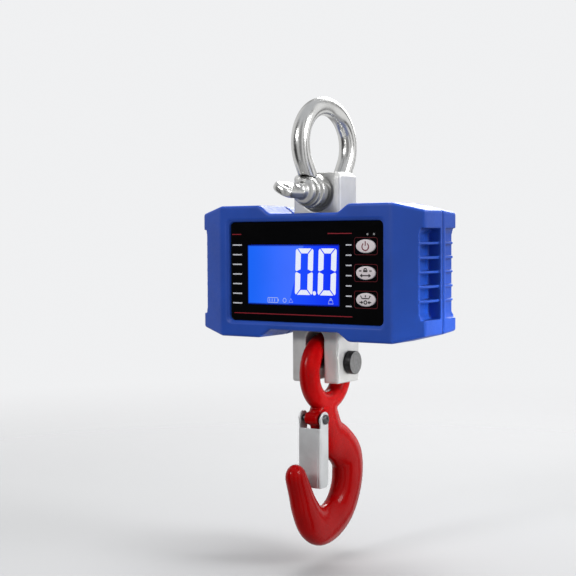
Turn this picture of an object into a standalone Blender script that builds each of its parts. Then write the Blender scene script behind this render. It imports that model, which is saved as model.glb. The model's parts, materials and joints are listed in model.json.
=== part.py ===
"""Hanging crane scale: steel load cell, bow shackle, latched hook and a blue moulded display housing.

World frame: X to the right, Y to the back, Z up, with the origin in the middle of the load cell's top face.
Lengths below are millimetres from the housing's mid-height on the load line. add_object() turns them into
metres and moves them to the world frame.
"""

import math

import bmesh
import bpy
from mathutils import Matrix, Vector

MM = 0.001
GAP = 0.3                       # running clearance between neighbouring pieces

# Housing, which is an octagonal box with shallow notches round the load cell
HOUSING_X = 88.1                # half width at the side faces
RIM_X = 67.4                    # half width of the flat front rim
HOUSING_Z = 45.0                # half height over the rim
SIDE_Z = 40.0                   # half height at the side faces
RIM_Y = 29.2                    # front rim plane is at -RIM_Y, the rear face at +RIM_Y
SIDE_Y = 21.7                   # where the side faces meet the sloping corner faces
PART_Y = 3.0                    # front shell ends here
SEAL_T = 0.6                    # gasket space between the shells
WALL = 3.0
RING_POINTS = 16                # points in one ring of a shell
NOTCH_TOP_X = 35.2
NOTCH_X = 27.1
NOTCH_Z = 39.3
REAR_TAPER = 2.0                # drop of the rear shell's top over its depth
CORNER_X = 75.5                 # half width of the inside
GRIP_TOP = 28.6
GRIP_BOTTOM = -30.0
GRIP_SLANT = 3.6                # height of the slanted end walls of the recess
GRIP_X = 79.0                   # floor of the grip recess, front shell
REAR_GRIP_X = 84.0              # floor of the grip recess, rear shell
RIB_X = 86.6
RIB_T = 1.7
RIB_ZS = (19.0, 9.8, 0.5, -8.8, -18.0)

# Fascia
PANEL = (121.9, 68.0)
PANEL_Y = -26.2
PANEL_T = 0.7
FLOOR_Y = -25.3                 # front of the wall behind the fascia
INNER_Y = -22.1                 # back of that wall
WINDOW = (-46.9, 27.4, -22.4, 18.3)
KEY_X = 47.3
KEY_ZS = {"power": 17.3, "hold": 0.0, "zero": -17.3}
KEY_SIZE = (14.6, 8.8)
LED_XS = (48.6, 53.4)
LED_Z = 25.0
LED_R = 0.7
PCB_Y = -17.6
PCB_T = 1.6

# Load cell
CELL_X = 18.55
CELL_LOW_Y = 13.9
CELL_UP_Y = 11.2
CELL_TOP = 67.0                 # the world frame's origin is here
CELL_BOTTOM = -75.2
CELL_STEP_Z = -8.0
FORK_X = 7.3                    # half width of the hook slot
FORK_TOP = -39.0
WEB_Y = 8.7                     # half thickness left between the shackle ears
POCKET_R = 13.6

# Shackle
PIN_Z = 54.1
PIN_R = 6.0
WIRE_R = 6.2
EAR_R = 11.5
EAR_Y = (9.3, 20.8)
BOW_R = 26.3
BOW_STRETCH = 1.15              # the bow is wider than round
BOW_Z = 85.7
WASHER_R = 10.2
WASHER_Y = (21.1, 23.4)
COLLAR_Y = (23.7, 29.0)
PADDLE_TIP_Y = 56.0

# Hook
HOOK_PIN_Z = -61.5
HOOK_PIN_R = 5.5
EYE_R = 20.5
EYE_WIRE_R = 7.3                # in the hook's plane
EYE_WIRE_X = 6.8
EYE_STEPS = 28
EYE_Z = HOOK_PIN_Z + HOOK_PIN_R + GAP - (EYE_R - EYE_WIRE_R)
# Forged shank, from the neck to the tip: y, z, half width in the hook's plane, half thickness
HOOK_SECTIONS = (
    (-3.4, -92.0, 13.8, 6.7),
    (-2.0, -101.6, 15.0, 7.0),
    (5.6, -113.9, 14.2, 7.6),
    (17.6, -121.9, 14.4, 8.2),
    (26.8, -131.2, 15.3, 8.6),
    (28.3, -142.0, 15.3, 8.8),
    (25.8, -153.4, 14.6, 8.8),
    (18.4, -164.9, 14.3, 8.8),
    (6.4, -172.5, 13.8, 8.7),
    (-7.5, -174.2, 13.6, 8.6),
    (-19.1, -168.6, 12.8, 8.3),
    (-27.5, -157.5, 11.0, 7.8),
    (-32.7, -146.5, 9.3, 7.2),
    (-37.4, -136.4, 8.1, 6.8),
)
HOOK_TIP = (-41.0, -127.6)
RIVET = (-15.5, -99.4)          # y and z of the latch rivet
RIVET_R = 2.0
LATCH_X = 9.0                   # outer half width of the latch channel
LATCH_T = 1.0
LATCH_FRONT_Y = -21.6
LATCH_BACK_Y = -11.2
LATCH_TOP = -105.8
LATCH_BOTTOM = -145.6

# Battery bay, behind the left side of the display
CELL_AA_R = 7.1
CELL_AA_LENGTH = 50.4
BAY_XS = (-58.8, -44.2, -29.6)
BAY_Y = 18.4
BAY_OUT = (-67.9, -20.5, 28.7)  # left, right and half height of the holder
DOOR = (-66.2, -22.2, 27.5)     # left, right and half height of the opening

SCREW_POINTS = ((-80.2, 35.2), (80.2, 35.2), (-80.2, -36.2), (80.2, -36.2))
PCB_SCREW_POINTS = ((-56.0, 27.0), (38.0, 27.0), (-56.0, -27.0), (38.0, -27.0))
BRACKET_ZS = (20.0, -20.0)
SOCKET_R = 1.4                  # corner radius of the screws' hexagon sockets


# ---------------------------------------------------------------- helpers

def clear_scene():
    for obj in list(bpy.data.objects):
        bpy.data.objects.remove(obj, do_unlink=True)


def material(name, colour, roughness, metallic=0.0, coat=0.0):
    made = bpy.data.materials.new(name)
    made.use_nodes = True
    shader = made.node_tree.nodes["Principled BSDF"]
    shader.inputs["Base Color"].default_value = (*colour, 1.0)
    shader.inputs["Roughness"].default_value = roughness
    shader.inputs["Metallic"].default_value = metallic
    shader.inputs["Coat Weight"].default_value = coat
    return made


def add_object(name, bm, finish, origin=(0, 0, 0), smooth=None, helper=False):
    """Turns a bmesh in housing millimetres into an object whose origin is at `origin`."""
    bmesh.ops.recalc_face_normals(bm, faces=bm.faces)
    bmesh.ops.transform(bm, matrix=Matrix.Translation(-Vector(origin)), verts=bm.verts)
    bmesh.ops.scale(bm, vec=(MM, MM, MM), verts=bm.verts)
    mesh = bpy.data.meshes.new(name)
    bm.to_mesh(mesh)
    bm.free()
    obj = bpy.data.objects.new(name, mesh)
    obj.location = (Vector(origin) - Vector((0, 0, CELL_TOP))) * MM
    bpy.context.scene.collection.objects.link(obj)
    if finish:
        mesh.materials.append(finish)
    if smooth:
        mesh.shade_smooth()
        mesh.set_sharp_from_angle(angle=math.radians(smooth))
    if helper:
        obj.hide_render = True
        obj.display_type = "WIRE"
    return obj


def loft(rings, closed_ends=True):
    """A skin through rings that all have the same number of points."""
    bm = bmesh.new()
    made = [[bm.verts.new(point) for point in ring] for ring in rings]
    count = len(made[0])
    for low, high in zip(made, made[1:]):
        for i in range(count):
            j = (i + 1) % count
            bm.faces.new((low[i], low[j], high[j], high[i]))
    if closed_ends:
        bm.faces.new(made[0][::-1])
        bm.faces.new(made[-1])
    return bm


def closed_loft(rings):
    """A skin through rings whose last ring joins the first."""
    bm = loft(rings, closed_ends=False)
    bm.verts.ensure_lookup_table()
    count = len(rings[0])
    last = (len(rings) - 1) * count
    for i in range(count):
        j = (i + 1) % count
        bm.faces.new((bm.verts[last + i], bm.verts[last + j], bm.verts[j], bm.verts[i]))
    return bm


def prism(outline, axis, low, high):
    """Extrudes a flat outline along axis 'x', 'y' or 'z'. The outline's two numbers are the other two axes."""
    places = {"x": lambda a, b, h: (h, a, b), "y": lambda a, b, h: (a, h, b), "z": lambda a, b, h: (a, b, h)}
    place = places[axis]
    return loft([[place(a, b, h) for a, b in outline] for h in (low, high)])


def block(x0, x1, y0, y1, z0, z1):
    return prism([(x0, y0), (x1, y0), (x1, y1), (x0, y1)], "z", z0, z1)


def rounded(width, height, radius, centre=(0, 0), steps=4):
    """Outline of a rectangle with round corners."""
    corners = ((1, 1, 0), (-1, 1, 90), (-1, -1, 180), (1, -1, 270))
    outline = []
    for sx, sy, start in corners:
        for step in range(steps + 1):
            angle = math.radians(start + 90 * step / steps)
            x = sx * (width / 2 - radius) + radius * math.cos(angle)
            y = sy * (height / 2 - radius) + radius * math.sin(angle)
            outline.append((centre[0] + x, centre[1] + y))
    return outline


def ellipse(width, height, centre=(0, 0), steps=24):
    angles = [2 * math.pi * step / steps for step in range(steps)]
    return [(centre[0] + width / 2 * math.cos(a), centre[1] + height / 2 * math.sin(a)) for a in angles]


def turned(profile, axis, centre, steps=24):
    """A solid of revolution. The profile holds (distance along the axis, radius) from end to end."""
    rings = []
    for along, radius in profile:
        ring = []
        for a, b in ellipse(2 * radius, 2 * radius, steps=steps):
            if axis == "x":
                ring.append((along, centre[0] + a, centre[1] + b))
            elif axis == "y":
                ring.append((centre[0] + a, along, centre[1] + b))
            else:
                ring.append((centre[0] + a, centre[1] + b, along))
        rings.append(ring)
    return loft(rings)


def sweep(path, radii, steps=12, side=Vector((1, 0, 0))):
    """Rings across a path; radii holds (in plane, along side) for each point. side is across the path's plane."""
    rings = []
    for i, point in enumerate(path):
        ahead = path[min(i + 1, len(path) - 1)]
        behind = path[max(i - 1, 0)]
        across = (ahead - behind).normalized().cross(side).normalized()
        wide, thick = radii[i]
        angles = [2 * math.pi * step / steps for step in range(steps)]
        rings.append([point + across * wide * math.cos(a) + side * thick * math.sin(a) for a in angles])
    return rings


def cut(obj, bm, name):
    combine(obj, bm, name, "DIFFERENCE")


def join(obj, bm, name):
    combine(obj, bm, name, "UNION")


def combine(obj, bm, name, operation):
    helper = add_object(f"{obj.name}_{name}_tool", bm, None, helper=True)
    modifier = obj.modifiers.new(name, "BOOLEAN")
    modifier.operation = operation
    modifier.solver = "EXACT"
    modifier.object = helper


def soften(obj, width, segments=1, angle=30):
    modifier = obj.modifiers.new("edges", "BEVEL")
    modifier.width = width * MM
    modifier.segments = segments
    modifier.limit_method = "ANGLE"
    modifier.angle_limit = math.radians(angle)
    modifier.harden_normals = False


# ---------------------------------------------------------------- load cell

def make_load_cell(steel):
    outline = [(-CELL_UP_Y, CELL_TOP), (-CELL_UP_Y, CELL_STEP_Z), (-CELL_LOW_Y, CELL_STEP_Z - 3),
               (-CELL_LOW_Y, CELL_BOTTOM), (CELL_LOW_Y, CELL_BOTTOM), (CELL_LOW_Y, CELL_STEP_Z - 3),
               (CELL_UP_Y, CELL_STEP_Z), (CELL_UP_Y, CELL_TOP)]
    cell = add_object("load_cell", prism(outline, "x", -CELL_X, CELL_X), steel)
    soften(cell, 1.5, 2, 40)
    slot_mid = FORK_TOP - FORK_X
    slot = [(FORK_X, CELL_BOTTOM - 5), (FORK_X, slot_mid)]
    slot += [(FORK_X * math.cos(a), slot_mid + FORK_X * math.sin(a))
             for a in [math.pi * step / 8 for step in range(1, 8)]]
    slot += [(-FORK_X, slot_mid), (-FORK_X, CELL_BOTTOM - 5)]
    cut(cell, prism(slot, "y", -CELL_LOW_Y - 5, CELL_LOW_Y + 5), "fork")
    for side in (-1, 1):
        pocket = [(POCKET_R * math.cos(a), PIN_Z + POCKET_R * math.sin(a))
                  for a in [math.pi + math.pi * step / 12 for step in range(13)]]
        pocket += [(POCKET_R, CELL_TOP + 5), (-POCKET_R, CELL_TOP + 5)]
        cut(cell, prism(pocket, "y", side * WEB_Y, side * (CELL_UP_Y + 5)), "pocket")
    through = 2 * CELL_LOW_Y
    cut(cell, turned([(-through, PIN_R + GAP), (through, PIN_R + GAP)], "y", (0, PIN_Z)), "shackle_hole")
    cut(cell, turned([(-CELL_X - 5, HOOK_PIN_R + GAP), (CELL_X + 5, HOOK_PIN_R + GAP)], "x", (0, HOOK_PIN_Z)),
        "hook_hole")
    cut(cell, turned([(8.0, 8.0), (CELL_X + 5, 8.0)], "x", (0, 0)), "gauge_bore")
    for side in (-1, 1):
        for z in BRACKET_ZS:
            cut(cell, turned([(side * 12.0, 1.8), (side * (CELL_X + 5), 1.8)], "x", (0, z), 12), "tapped_hole")
    return cell


def make_gauge_cover(plastic):
    cover = turned([(15.6, 7.4), (CELL_X - 1.0, 7.7), (CELL_X - 0.6, 7.4)], "x", (0, 0))
    add_object("gauge_cover", cover, plastic, smooth=40)


def make_cell_brackets(steel, fastener):
    for name, side in (("left", -1), ("right", 1)):
        inner = side * (CELL_X + GAP)
        outer = side * (CELL_X + GAP + 1.8)
        foot = side * (CELL_X + 15.0)
        outline = [(inner, -9.0), (inner, 6.0), (outer, 6.0), (outer, -7.2), (foot, -7.2), (foot, -9.0)]
        bracket = add_object(f"cell_bracket_{name}", prism(outline, "z", -27.0, 27.0), steel)
        cut(bracket, prism(ellipse(17.0, 17.0), "x", inner - side, outer + side), "relief")
        for z in BRACKET_ZS:
            hole = [(inner - side, 2.1), (outer + side, 2.1)]
            cut(bracket, turned(hole, "x", (0, z), 12), "hole")
        for number, z in enumerate(BRACKET_ZS, 1):
            face = CELL_X + 2 * GAP + 1.8
            profile = [(side * 13.0, 1.5), (side * face, 1.5), (side * face, 3.4), (side * (face + 1.6), 3.4),
                       (side * (face + 2.1), 2.6)]
            make_screw(f"bracket_screw_{name}_{number}", profile, "x", (0, z), fastener)


# ---------------------------------------------------------------- fasteners

def make_screw(name, profile, axis, centre, finish):
    """A pan head screw with a hexagon socket, turned about its own axis."""
    screw = add_object(name, turned(profile, axis, centre, 12), finish, smooth=40)
    end = profile[-1][0]
    lead = 1 if end > profile[0][0] else -1
    cut(screw, turned([(end - lead * 1.1, SOCKET_R), (end + lead, SOCKET_R)], axis, centre, 6), "socket")
    return screw


# ---------------------------------------------------------------- housing

def mirrored(quarter):
    """Outline in X and Z from its upper right quarter, listed from the side to the middle."""
    left_top = [(-x, z) for x, z in reversed(quarter)]
    lower_left = [(-x, -z) for x, z in quarter]
    lower_right = [(x, -z) for x, z in reversed(quarter)]
    return quarter + left_top + lower_left + lower_right


def housing_ring(quarter, y_mid, y_side, drop=0.0, start=0.0):
    """One ring of a shell. Points on the side (the widest) sit at y_side; drop lowers |z| with distance from start."""
    widest = max(x for x, _ in quarter)
    ring = []
    for x, z in mirrored(quarter):
        y = y_side if abs(abs(x) - widest) < 0.01 else y_mid
        lowered = abs(z) - drop * abs(y - start) / (RIM_Y - PART_Y)
        ring.append((x, y, math.copysign(lowered, z)))
    return ring


def shell_solid(rings):
    """A shell's solid from its end rings. Each end is a middle face and two sloping corner faces."""
    bm = loft(rings, closed_ends=False)
    bm.verts.ensure_lookup_table()
    for start in (0, RING_POINTS):
        end = [bm.verts[start + i] for i in range(RING_POINTS)]
        bm.faces.new((end[15], end[0], end[1], end[14]))
        bm.faces.new((end[7], end[8], end[9], end[6]))
        bm.faces.new(end[1:7] + end[9:15])
    return bm


def outer_quarter():
    return [(HOUSING_X, SIDE_Z), (RIM_X, HOUSING_Z), (NOTCH_TOP_X, HOUSING_Z), (NOTCH_X, NOTCH_Z)]


def inner_quarter():
    return [(CORNER_X, SIDE_Z), (RIM_X, HOUSING_Z - WALL), (NOTCH_TOP_X + WALL, HOUSING_Z - WALL),
            (NOTCH_X + WALL, NOTCH_Z - WALL)]


def grip_cutters(side, y_edge, y_lip, slope, floor_x, foot):
    """Solids to cut from one side of a shell so that five ribs are left standing in the recess.

    The pocket runs from the flange at y_edge to y_lip on the sloping corner face. slope is the length over
    which its floor rises to that face, and foot the length over which the ribs die out towards it.
    """
    levels = [GRIP_TOP] + [z + s * RIB_T / 2 for z in RIB_ZS for s in (1, -1)] + [GRIP_BOTTOM]
    outward = math.copysign(1, y_lip - y_edge)
    far_x = HOUSING_X + 5
    lip_x = HOUSING_X - 3.8
    rise = Vector((lip_x - floor_x, outward * slope)).normalized()

    def plan(shrink):
        """Plan of the pocket. shrink draws its floor and its lip in, for the slanted end walls."""
        lip = Vector((lip_x, y_lip - outward * shrink))
        end = lip + rise * 5
        floor = floor_x + shrink * 0.6
        points = [(far_x, y_edge), (floor, y_edge), (floor, lip.y - outward * slope * 0.9), (end.x, end.y),
                  (far_x, end.y + outward)]
        return [(side * x, y) for x, y in points]

    made = []
    for high, low in zip(levels[::2], levels[1::2]):
        rings = [(low, 0.0), (high, 0.0)]
        if high == GRIP_TOP:
            rings = [(low, 0.0), (high - GRIP_SLANT, 0.0), (high, GRIP_SLANT)]
        elif low == GRIP_BOTTOM:
            rings = [(low, GRIP_SLANT), (low + GRIP_SLANT, 0.0), (high, 0.0)]
        made.append(loft([[(x, y, z) for x, y in plan(shrink)] for z, shrink in rings]))
    y_start = y_edge + outward * 0.2
    lip = Vector((lip_x, y_lip))
    shoulder = Vector((RIB_X, y_lip - outward * foot))
    end = lip + (lip - shoulder).normalized() * 5
    skim = [(far_x, y_start), (RIB_X, y_start), shoulder.to_tuple(), end.to_tuple(), (far_x, end.y)]
    skim = [(side * x, y) for x, y in skim]
    made.append(prism(skim, "z", GRIP_BOTTOM + GRIP_SLANT, GRIP_TOP - GRIP_SLANT))
    return made


def cut_for_cell(shell, y0, y1):
    cut(shell, block(-CELL_X - 3.0, CELL_X + 3.0, y0, y1, NOTCH_Z - 10, HOUSING_Z + 5), "cell_top")
    cut(shell, block(-CELL_X - 3.0, CELL_X + 3.0, y0, y1, -HOUSING_Z - 5, -NOTCH_Z + 10), "cell_bottom")


def make_front_shell(blue):
    outer = [housing_ring(outer_quarter(), -RIM_Y, -SIDE_Y), housing_ring(outer_quarter(), PART_Y, PART_Y)]
    shell = add_object("front_shell", shell_solid(outer), blue)
    soften(shell, 1.4, 2, 14)
    inside_side_y = INNER_Y + 1.5
    inner = [housing_ring(inner_quarter(), INNER_Y, inside_side_y),
             housing_ring(inner_quarter(), PART_Y + 5, PART_Y + 5)]
    cut(shell, shell_solid(inner), "inside")
    recess = rounded(*PANEL, 3.5)
    cut(shell, prism(recess, "y", -RIM_Y - 5, FLOOR_Y), "fascia_recess")
    rim = [[(x * s, y, z * t) for x, z in recess]
           for y, s, t in ((-RIM_Y - 1, 1.052, 1.094), (-RIM_Y + 1.6, 0.998, 0.996))]
    cut(shell, loft(rim), "rim_slope")
    x0, x1, z0, z1 = WINDOW
    cut(shell, block(x0, x1, FLOOR_Y - 2, INNER_Y + 2, z0, z1), "window")
    for z in KEY_ZS.values():
        oval = ellipse(KEY_SIZE[0] + 1.0, KEY_SIZE[1] + 1.0, (KEY_X, z), 20)
        cut(shell, prism(oval, "y", FLOOR_Y - 2, INNER_Y + 2), "key_hole")
    for x in LED_XS:
        cut(shell, turned([(FLOOR_Y - 2, LED_R + GAP), (INNER_Y + 2, LED_R + GAP)], "y", (x, LED_Z), 8), "led_hole")
    for side in (-1, 1):
        for tool in grip_cutters(side, PART_Y - 3.4, -SIDE_Y - 1.4, 20.0, GRIP_X, 8.0):
            cut(shell, tool, "grip")
    cut_for_cell(shell, -CELL_LOW_Y - GAP - 0.4, PART_Y + 5)
    for x, z in SCREW_POINTS:
        cut(shell, turned([(-8.0, 1.9), (PART_Y + 5, 1.9)], "y", (x, z), 12), "screw_hole")
    for x, z in PCB_SCREW_POINTS:
        join(shell, turned([(INNER_Y - 1.5, 3.4), (PCB_Y - 0.1, 3.0)], "y", (x, z), 14), "pcb_post")
        cut(shell, turned([(-20.6, 1.1), (PCB_Y + 2, 1.1)], "y", (x, z), 10), "pcb_hole")
    return shell


def make_rear_shell(blue):
    start = PART_Y + SEAL_T
    outer = [housing_ring(outer_quarter(), start, start, REAR_TAPER, start),
             housing_ring(outer_quarter(), RIM_Y, SIDE_Y, REAR_TAPER, start)]
    shell = add_object("rear_shell", shell_solid(outer), blue)
    soften(shell, 1.4, 2, 14)
    inner = [housing_ring(inner_quarter(), start - 5, start - 5),
             housing_ring(inner_quarter(), RIM_Y - WALL, RIM_Y - WALL - 3.0, REAR_TAPER, start)]
    cut(shell, shell_solid(inner), "inside")
    left, right, half = DOOR
    door = rounded(right - left, 2 * half, 1.5, ((left + right) / 2, 0), 2)
    cut(shell, prism(door, "y", RIM_Y - WALL - 2, RIM_Y + 2), "battery_opening")
    for side in (-1, 1):
        for tool in grip_cutters(side, start + 2.8, SIDE_Y + 0.9, 1.2, REAR_GRIP_X, 3.0):
            cut(shell, tool, "grip")
    cut_for_cell(shell, start - 5, CELL_LOW_Y + GAP + 0.4)
    for x, z in SCREW_POINTS:
        cut(shell, turned([(start - 3, 2.3), (20.0, 2.3)], "y", (x, z), 12), "screw_hole")
        cut(shell, turned([(17.5, 4.3), (RIM_Y + 2, 4.3)], "y", (x, z), 16), "screw_seat")
    return shell


def make_housing_screws(fastener):
    profile = [(-6.0, 1.2), (-5.0, 1.6), (17.8, 1.6), (17.8, 3.7), (20.0, 3.7), (20.8, 2.8)]
    for number, point in enumerate(SCREW_POINTS, 1):
        make_screw(f"housing_screw_{number}", profile, "y", point, fastener)


def make_gaskets(rubber):
    """Flat gasket between the shells, in two halves because the load cell stands in its way."""
    low_x = CELL_X + 3.5
    outer = [(low_x, 38.6), (NOTCH_X - 0.5, 38.6), (NOTCH_TOP_X - 0.5, 44.2), (RIM_X, 44.2), (86.9, 39.4),
             (86.9, -39.4), (RIM_X, -44.2), (NOTCH_TOP_X - 0.5, -44.2), (NOTCH_X - 0.5, -38.6), (low_x, -38.6)]
    inner = [(low_x, -37.0), (NOTCH_X + 2, -37.0), (NOTCH_TOP_X + 2, -42.6), (RIM_X, -42.6), (76.0, -40.2),
             (76.0, 40.2), (RIM_X, 42.6), (NOTCH_TOP_X + 2, 42.6), (NOTCH_X + 2, 37.0), (low_x, 37.0)]
    for name, side in (("left", -1), ("right", 1)):
        outline = [(side * x, z) for x, z in outer + inner]
        ring = add_object(f"gasket_{name}", prism(outline, "y", PART_Y + 0.15, PART_Y + SEAL_T - 0.15), rubber)
        for x, z in SCREW_POINTS:
            if x * side > 0:
                cut(ring, turned([(PART_Y - 2, 2.4), (PART_Y + 3, 2.4)], "y", (x, z), 12), "screw_hole")


def make_cell_seals(rubber):
    for name, z0, z1, half_y in (("upper_seal", 36.6, 39.0, CELL_UP_Y), ("lower_seal", -39.0, -36.6, CELL_LOW_Y)):
        wide = 2 * (CELL_X + 2.7)
        deep = 2 * (CELL_LOW_Y + 0.4)
        seal = add_object(name, prism(rounded(wide, deep, 1.0, steps=2), "z", z0, z1), rubber)
        hole = prism(rounded(2 * (CELL_X + 0.25), 2 * (half_y + 0.25), 0.6, steps=2), "z", z0 - 2, z1 + 2)
        cut(seal, hole, "cell_hole")


# ---------------------------------------------------------------- fascia, display and keys

def make_fascia(black, glass, lit, dark, led):
    sheet = add_object("panel_overlay", prism(rounded(PANEL[0] - 0.5, PANEL[1] - 0.5, 3.2), "y", PANEL_Y,
                                              PANEL_Y + PANEL_T), black)
    x0, x1, z0, z1 = WINDOW
    cut(sheet, block(x0, x1, PANEL_Y - 2, PANEL_Y + 4, z0, z1), "window")
    for z in KEY_ZS.values():
        oval = ellipse(KEY_SIZE[0] + 0.7, KEY_SIZE[1] + 0.7, (KEY_X, z), 20)
        cut(sheet, prism(oval, "y", PANEL_Y - 2, PANEL_Y + 4), "key_hole")
    for x in LED_XS:
        cut(sheet, turned([(PANEL_Y - 2, LED_R + 0.2), (PANEL_Y + 4, LED_R + 0.2)], "y", (x, LED_Z), 8), "led_hole")
    centre = ((x0 + x1) / 2, (z0 + z1) / 2)
    wide = x1 - x0
    high = z1 - z0
    pane = rounded(wide - 0.6, high - 0.6, 0.8, centre, 2)
    add_object("lcd_glass", prism(pane, "y", PANEL_Y + 0.15, -23.4), glass)
    light = rounded(wide + 2.0, high + 2.0, 0.8, centre, 2)
    add_object("lcd_backlight", prism(light, "y", INNER_Y + 0.3, -19.2), lit)
    frame = add_object("lcd_frame", prism(rounded(wide + 6.0, high + 6.0, 1.5, centre, 2), "y", INNER_Y + 0.3,
                                          PCB_Y - 0.3), dark)
    cut(frame, block(x0 - 1.3, x1 + 1.3, INNER_Y - 3, PCB_Y + 3, z0 - 1.3, z1 + 1.3), "backlight_seat")
    for number, x in enumerate(LED_XS, 1):
        body = turned([(PCB_Y - 0.2, LED_R), (PANEL_Y, LED_R), (PANEL_Y - 0.1, LED_R - 0.2)], "y", (x, LED_Z), 8)
        add_object(f"status_led_{number}", body, led, smooth=40)


def make_keys(pale, dark, steel):
    for name, z in KEY_ZS.items():
        rings = []
        for y, grow in ((PANEL_Y - 0.7, -1.2), (PANEL_Y - 0.35, -0.35), (PANEL_Y, 0.0), (-22.6, 0.0)):
            outline = ellipse(KEY_SIZE[0] + grow, KEY_SIZE[1] + grow, (KEY_X, z), 20)
            rings.append([(x, y, h) for x, h in outline])
        add_object(f"{name}_key", loft(rings), pale, (KEY_X, PANEL_Y, z), smooth=35)
        plunger = turned([(-22.3, 1.5), (-20.6, 1.5)], "y", (KEY_X, z), 12)
        add_object(f"{name}_switch_plunger", plunger, dark, (KEY_X, PANEL_Y, z), smooth=40)
        body = block(KEY_X - 3, KEY_X + 3, -19.6, PCB_Y - 0.2, z - 3, z + 3)
        add_object(f"{name}_switch_body", body, steel)


def make_electronics(green, dark, pale, steel, fastener):
    board = add_object("main_pcb", prism(rounded(120.0, 62.0, 2.0, steps=2), "y", PCB_Y, PCB_Y + PCB_T), green)
    for x, z in PCB_SCREW_POINTS:
        cut(board, turned([(PCB_Y - 2, 1.7), (PCB_Y + 4, 1.7)], "y", (x, z), 12), "hole")
    back = PCB_Y + PCB_T
    profile = [(-20.3, 0.9), (back + 0.15, 0.9), (back + 0.15, 2.5), (back + 1.5, 2.5), (back + 1.8, 2.0)]
    for number, point in enumerate(PCB_SCREW_POINTS, 1):
        make_screw(f"pcb_screw_{number}", profile, "y", point, fastener)
    rear = back + 0.2
    chip = add_object("processor_chip", block(-50, -38, rear, rear + 1.6, -6, 6), dark)
    soften(chip, 0.2)
    socket = add_object("sensor_connector", block(38, 47, rear, rear + 5.0, -18, -12), pale)
    cut(socket, block(39, 46, rear + 1.5, rear + 8, -17, -13), "pins")
    add_object("buzzer", turned([(rear, 6.0), (rear + 4.6, 6.0), (rear + 5.0, 5.5)], "y", (46, 14), 20), dark,
               smooth=40)


def make_sensor_cable(rubber):
    """From the gauge cover, over the bracket, to the socket on the board."""
    corners = [Vector(p) for p in ((CELL_X + 0.2, 0, 0), (24, 0, 0), (31, 0, -3), (38, -2, -10), (42.5, -6, -15),
                                   (42.5, -9.6, -15))]
    path = smooth_path(corners, 3)
    rings = sweep(path, [(1.5, 1.5)] * len(path), 6, Vector((0, 1, 0.35)).normalized())
    add_object("sensor_cable", loft(rings), rubber, smooth=60)


# ---------------------------------------------------------------- battery bay

def make_battery_bay(dark, steel, wrap, blue):
    left, right, half = BAY_OUT
    floor_y = BAY_Y - CELL_AA_R - 0.3
    holder = add_object("battery_holder", block(left, right, floor_y - 2.0, RIM_Y - WALL - 0.8, -half, half), dark)
    cut(holder, block(DOOR[0], DOOR[1], floor_y, RIM_Y + 3, -half + 1.6, half - 1.6), "bay")
    for number, x in enumerate(BAY_XS, 1):
        body = CELL_AA_LENGTH / 2
        flip = -1 if number == 2 else 1
        profile = [(-flip * body, CELL_AA_R - 0.5), (-flip * (body - 0.5), CELL_AA_R),
                   (flip * (body - 2.0), CELL_AA_R), (flip * (body - 1.4), CELL_AA_R - 0.8),
                   (flip * (body - 1.4), 2.7), (flip * body, 2.6)]
        add_object(f"battery_{number}", turned(profile, "z", (x, BAY_Y), 14), wrap, smooth=40)
    for name, sign in (("upper", 1), ("lower", -1)):
        near = sign * (CELL_AA_LENGTH / 2 + 0.5)
        far = sign * (half - 1.9)
        strip = add_object(f"battery_contact_{name}", block(DOOR[0] + 1, DOOR[1] - 1, BAY_Y - 5, BAY_Y + 5,
                                                            min(near, far), max(near, far)), steel)
        for x in BAY_XS[:-1]:
            between = x + (BAY_XS[1] - BAY_XS[0]) / 2
            cut(strip, block(between - 0.8, between + 0.8, BAY_Y - 2, BAY_Y + 8, min(near, far) - 1,
                             max(near, far) + 1), "slit")
    make_battery_door(blue)


def make_battery_door(blue):
    """Tilts out about its lower outer edge, where two hooks hold it."""
    left, right, half = DOOR
    hinge = ((left + right) / 2, RIM_Y, -half + GAP)
    plate = rounded(right - left - 2 * GAP, 2 * half - 2 * GAP, 1.2, ((left + right) / 2, 0), 2)
    door = add_object("battery_door", prism(plate, "y", RIM_Y - WALL + 0.3, RIM_Y), blue, hinge)
    middle = (left + right) / 2
    for step in range(4):
        z = half - 7 - 2.2 * step
        groove = block(middle - 9 + step, middle + 9 - step, RIM_Y - 0.7, RIM_Y + 2, z - 0.6, z + 0.6)
        cut(door, groove, "finger_groove")


# ---------------------------------------------------------------- shackle

def smooth_path(points, steps):
    """Catmull-Rom curve through points of any dimension, with steps pieces between neighbours."""
    padded = [points[0] * 2 - points[1]] + list(points) + [points[-1] * 2 - points[-2]]
    made = []
    for p0, p1, p2, p3 in zip(padded, padded[1:], padded[2:], padded[3:]):
        for step in range(steps):
            t = step / steps
            made.append(0.5 * (2 * p1 + (p2 - p0) * t + (2 * p0 - 5 * p1 + 4 * p2 - p3) * t * t
                               + (3 * p1 - p0 - 3 * p2 + p3) * t ** 3))
    made.append(points[-1].copy())
    return made


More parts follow.
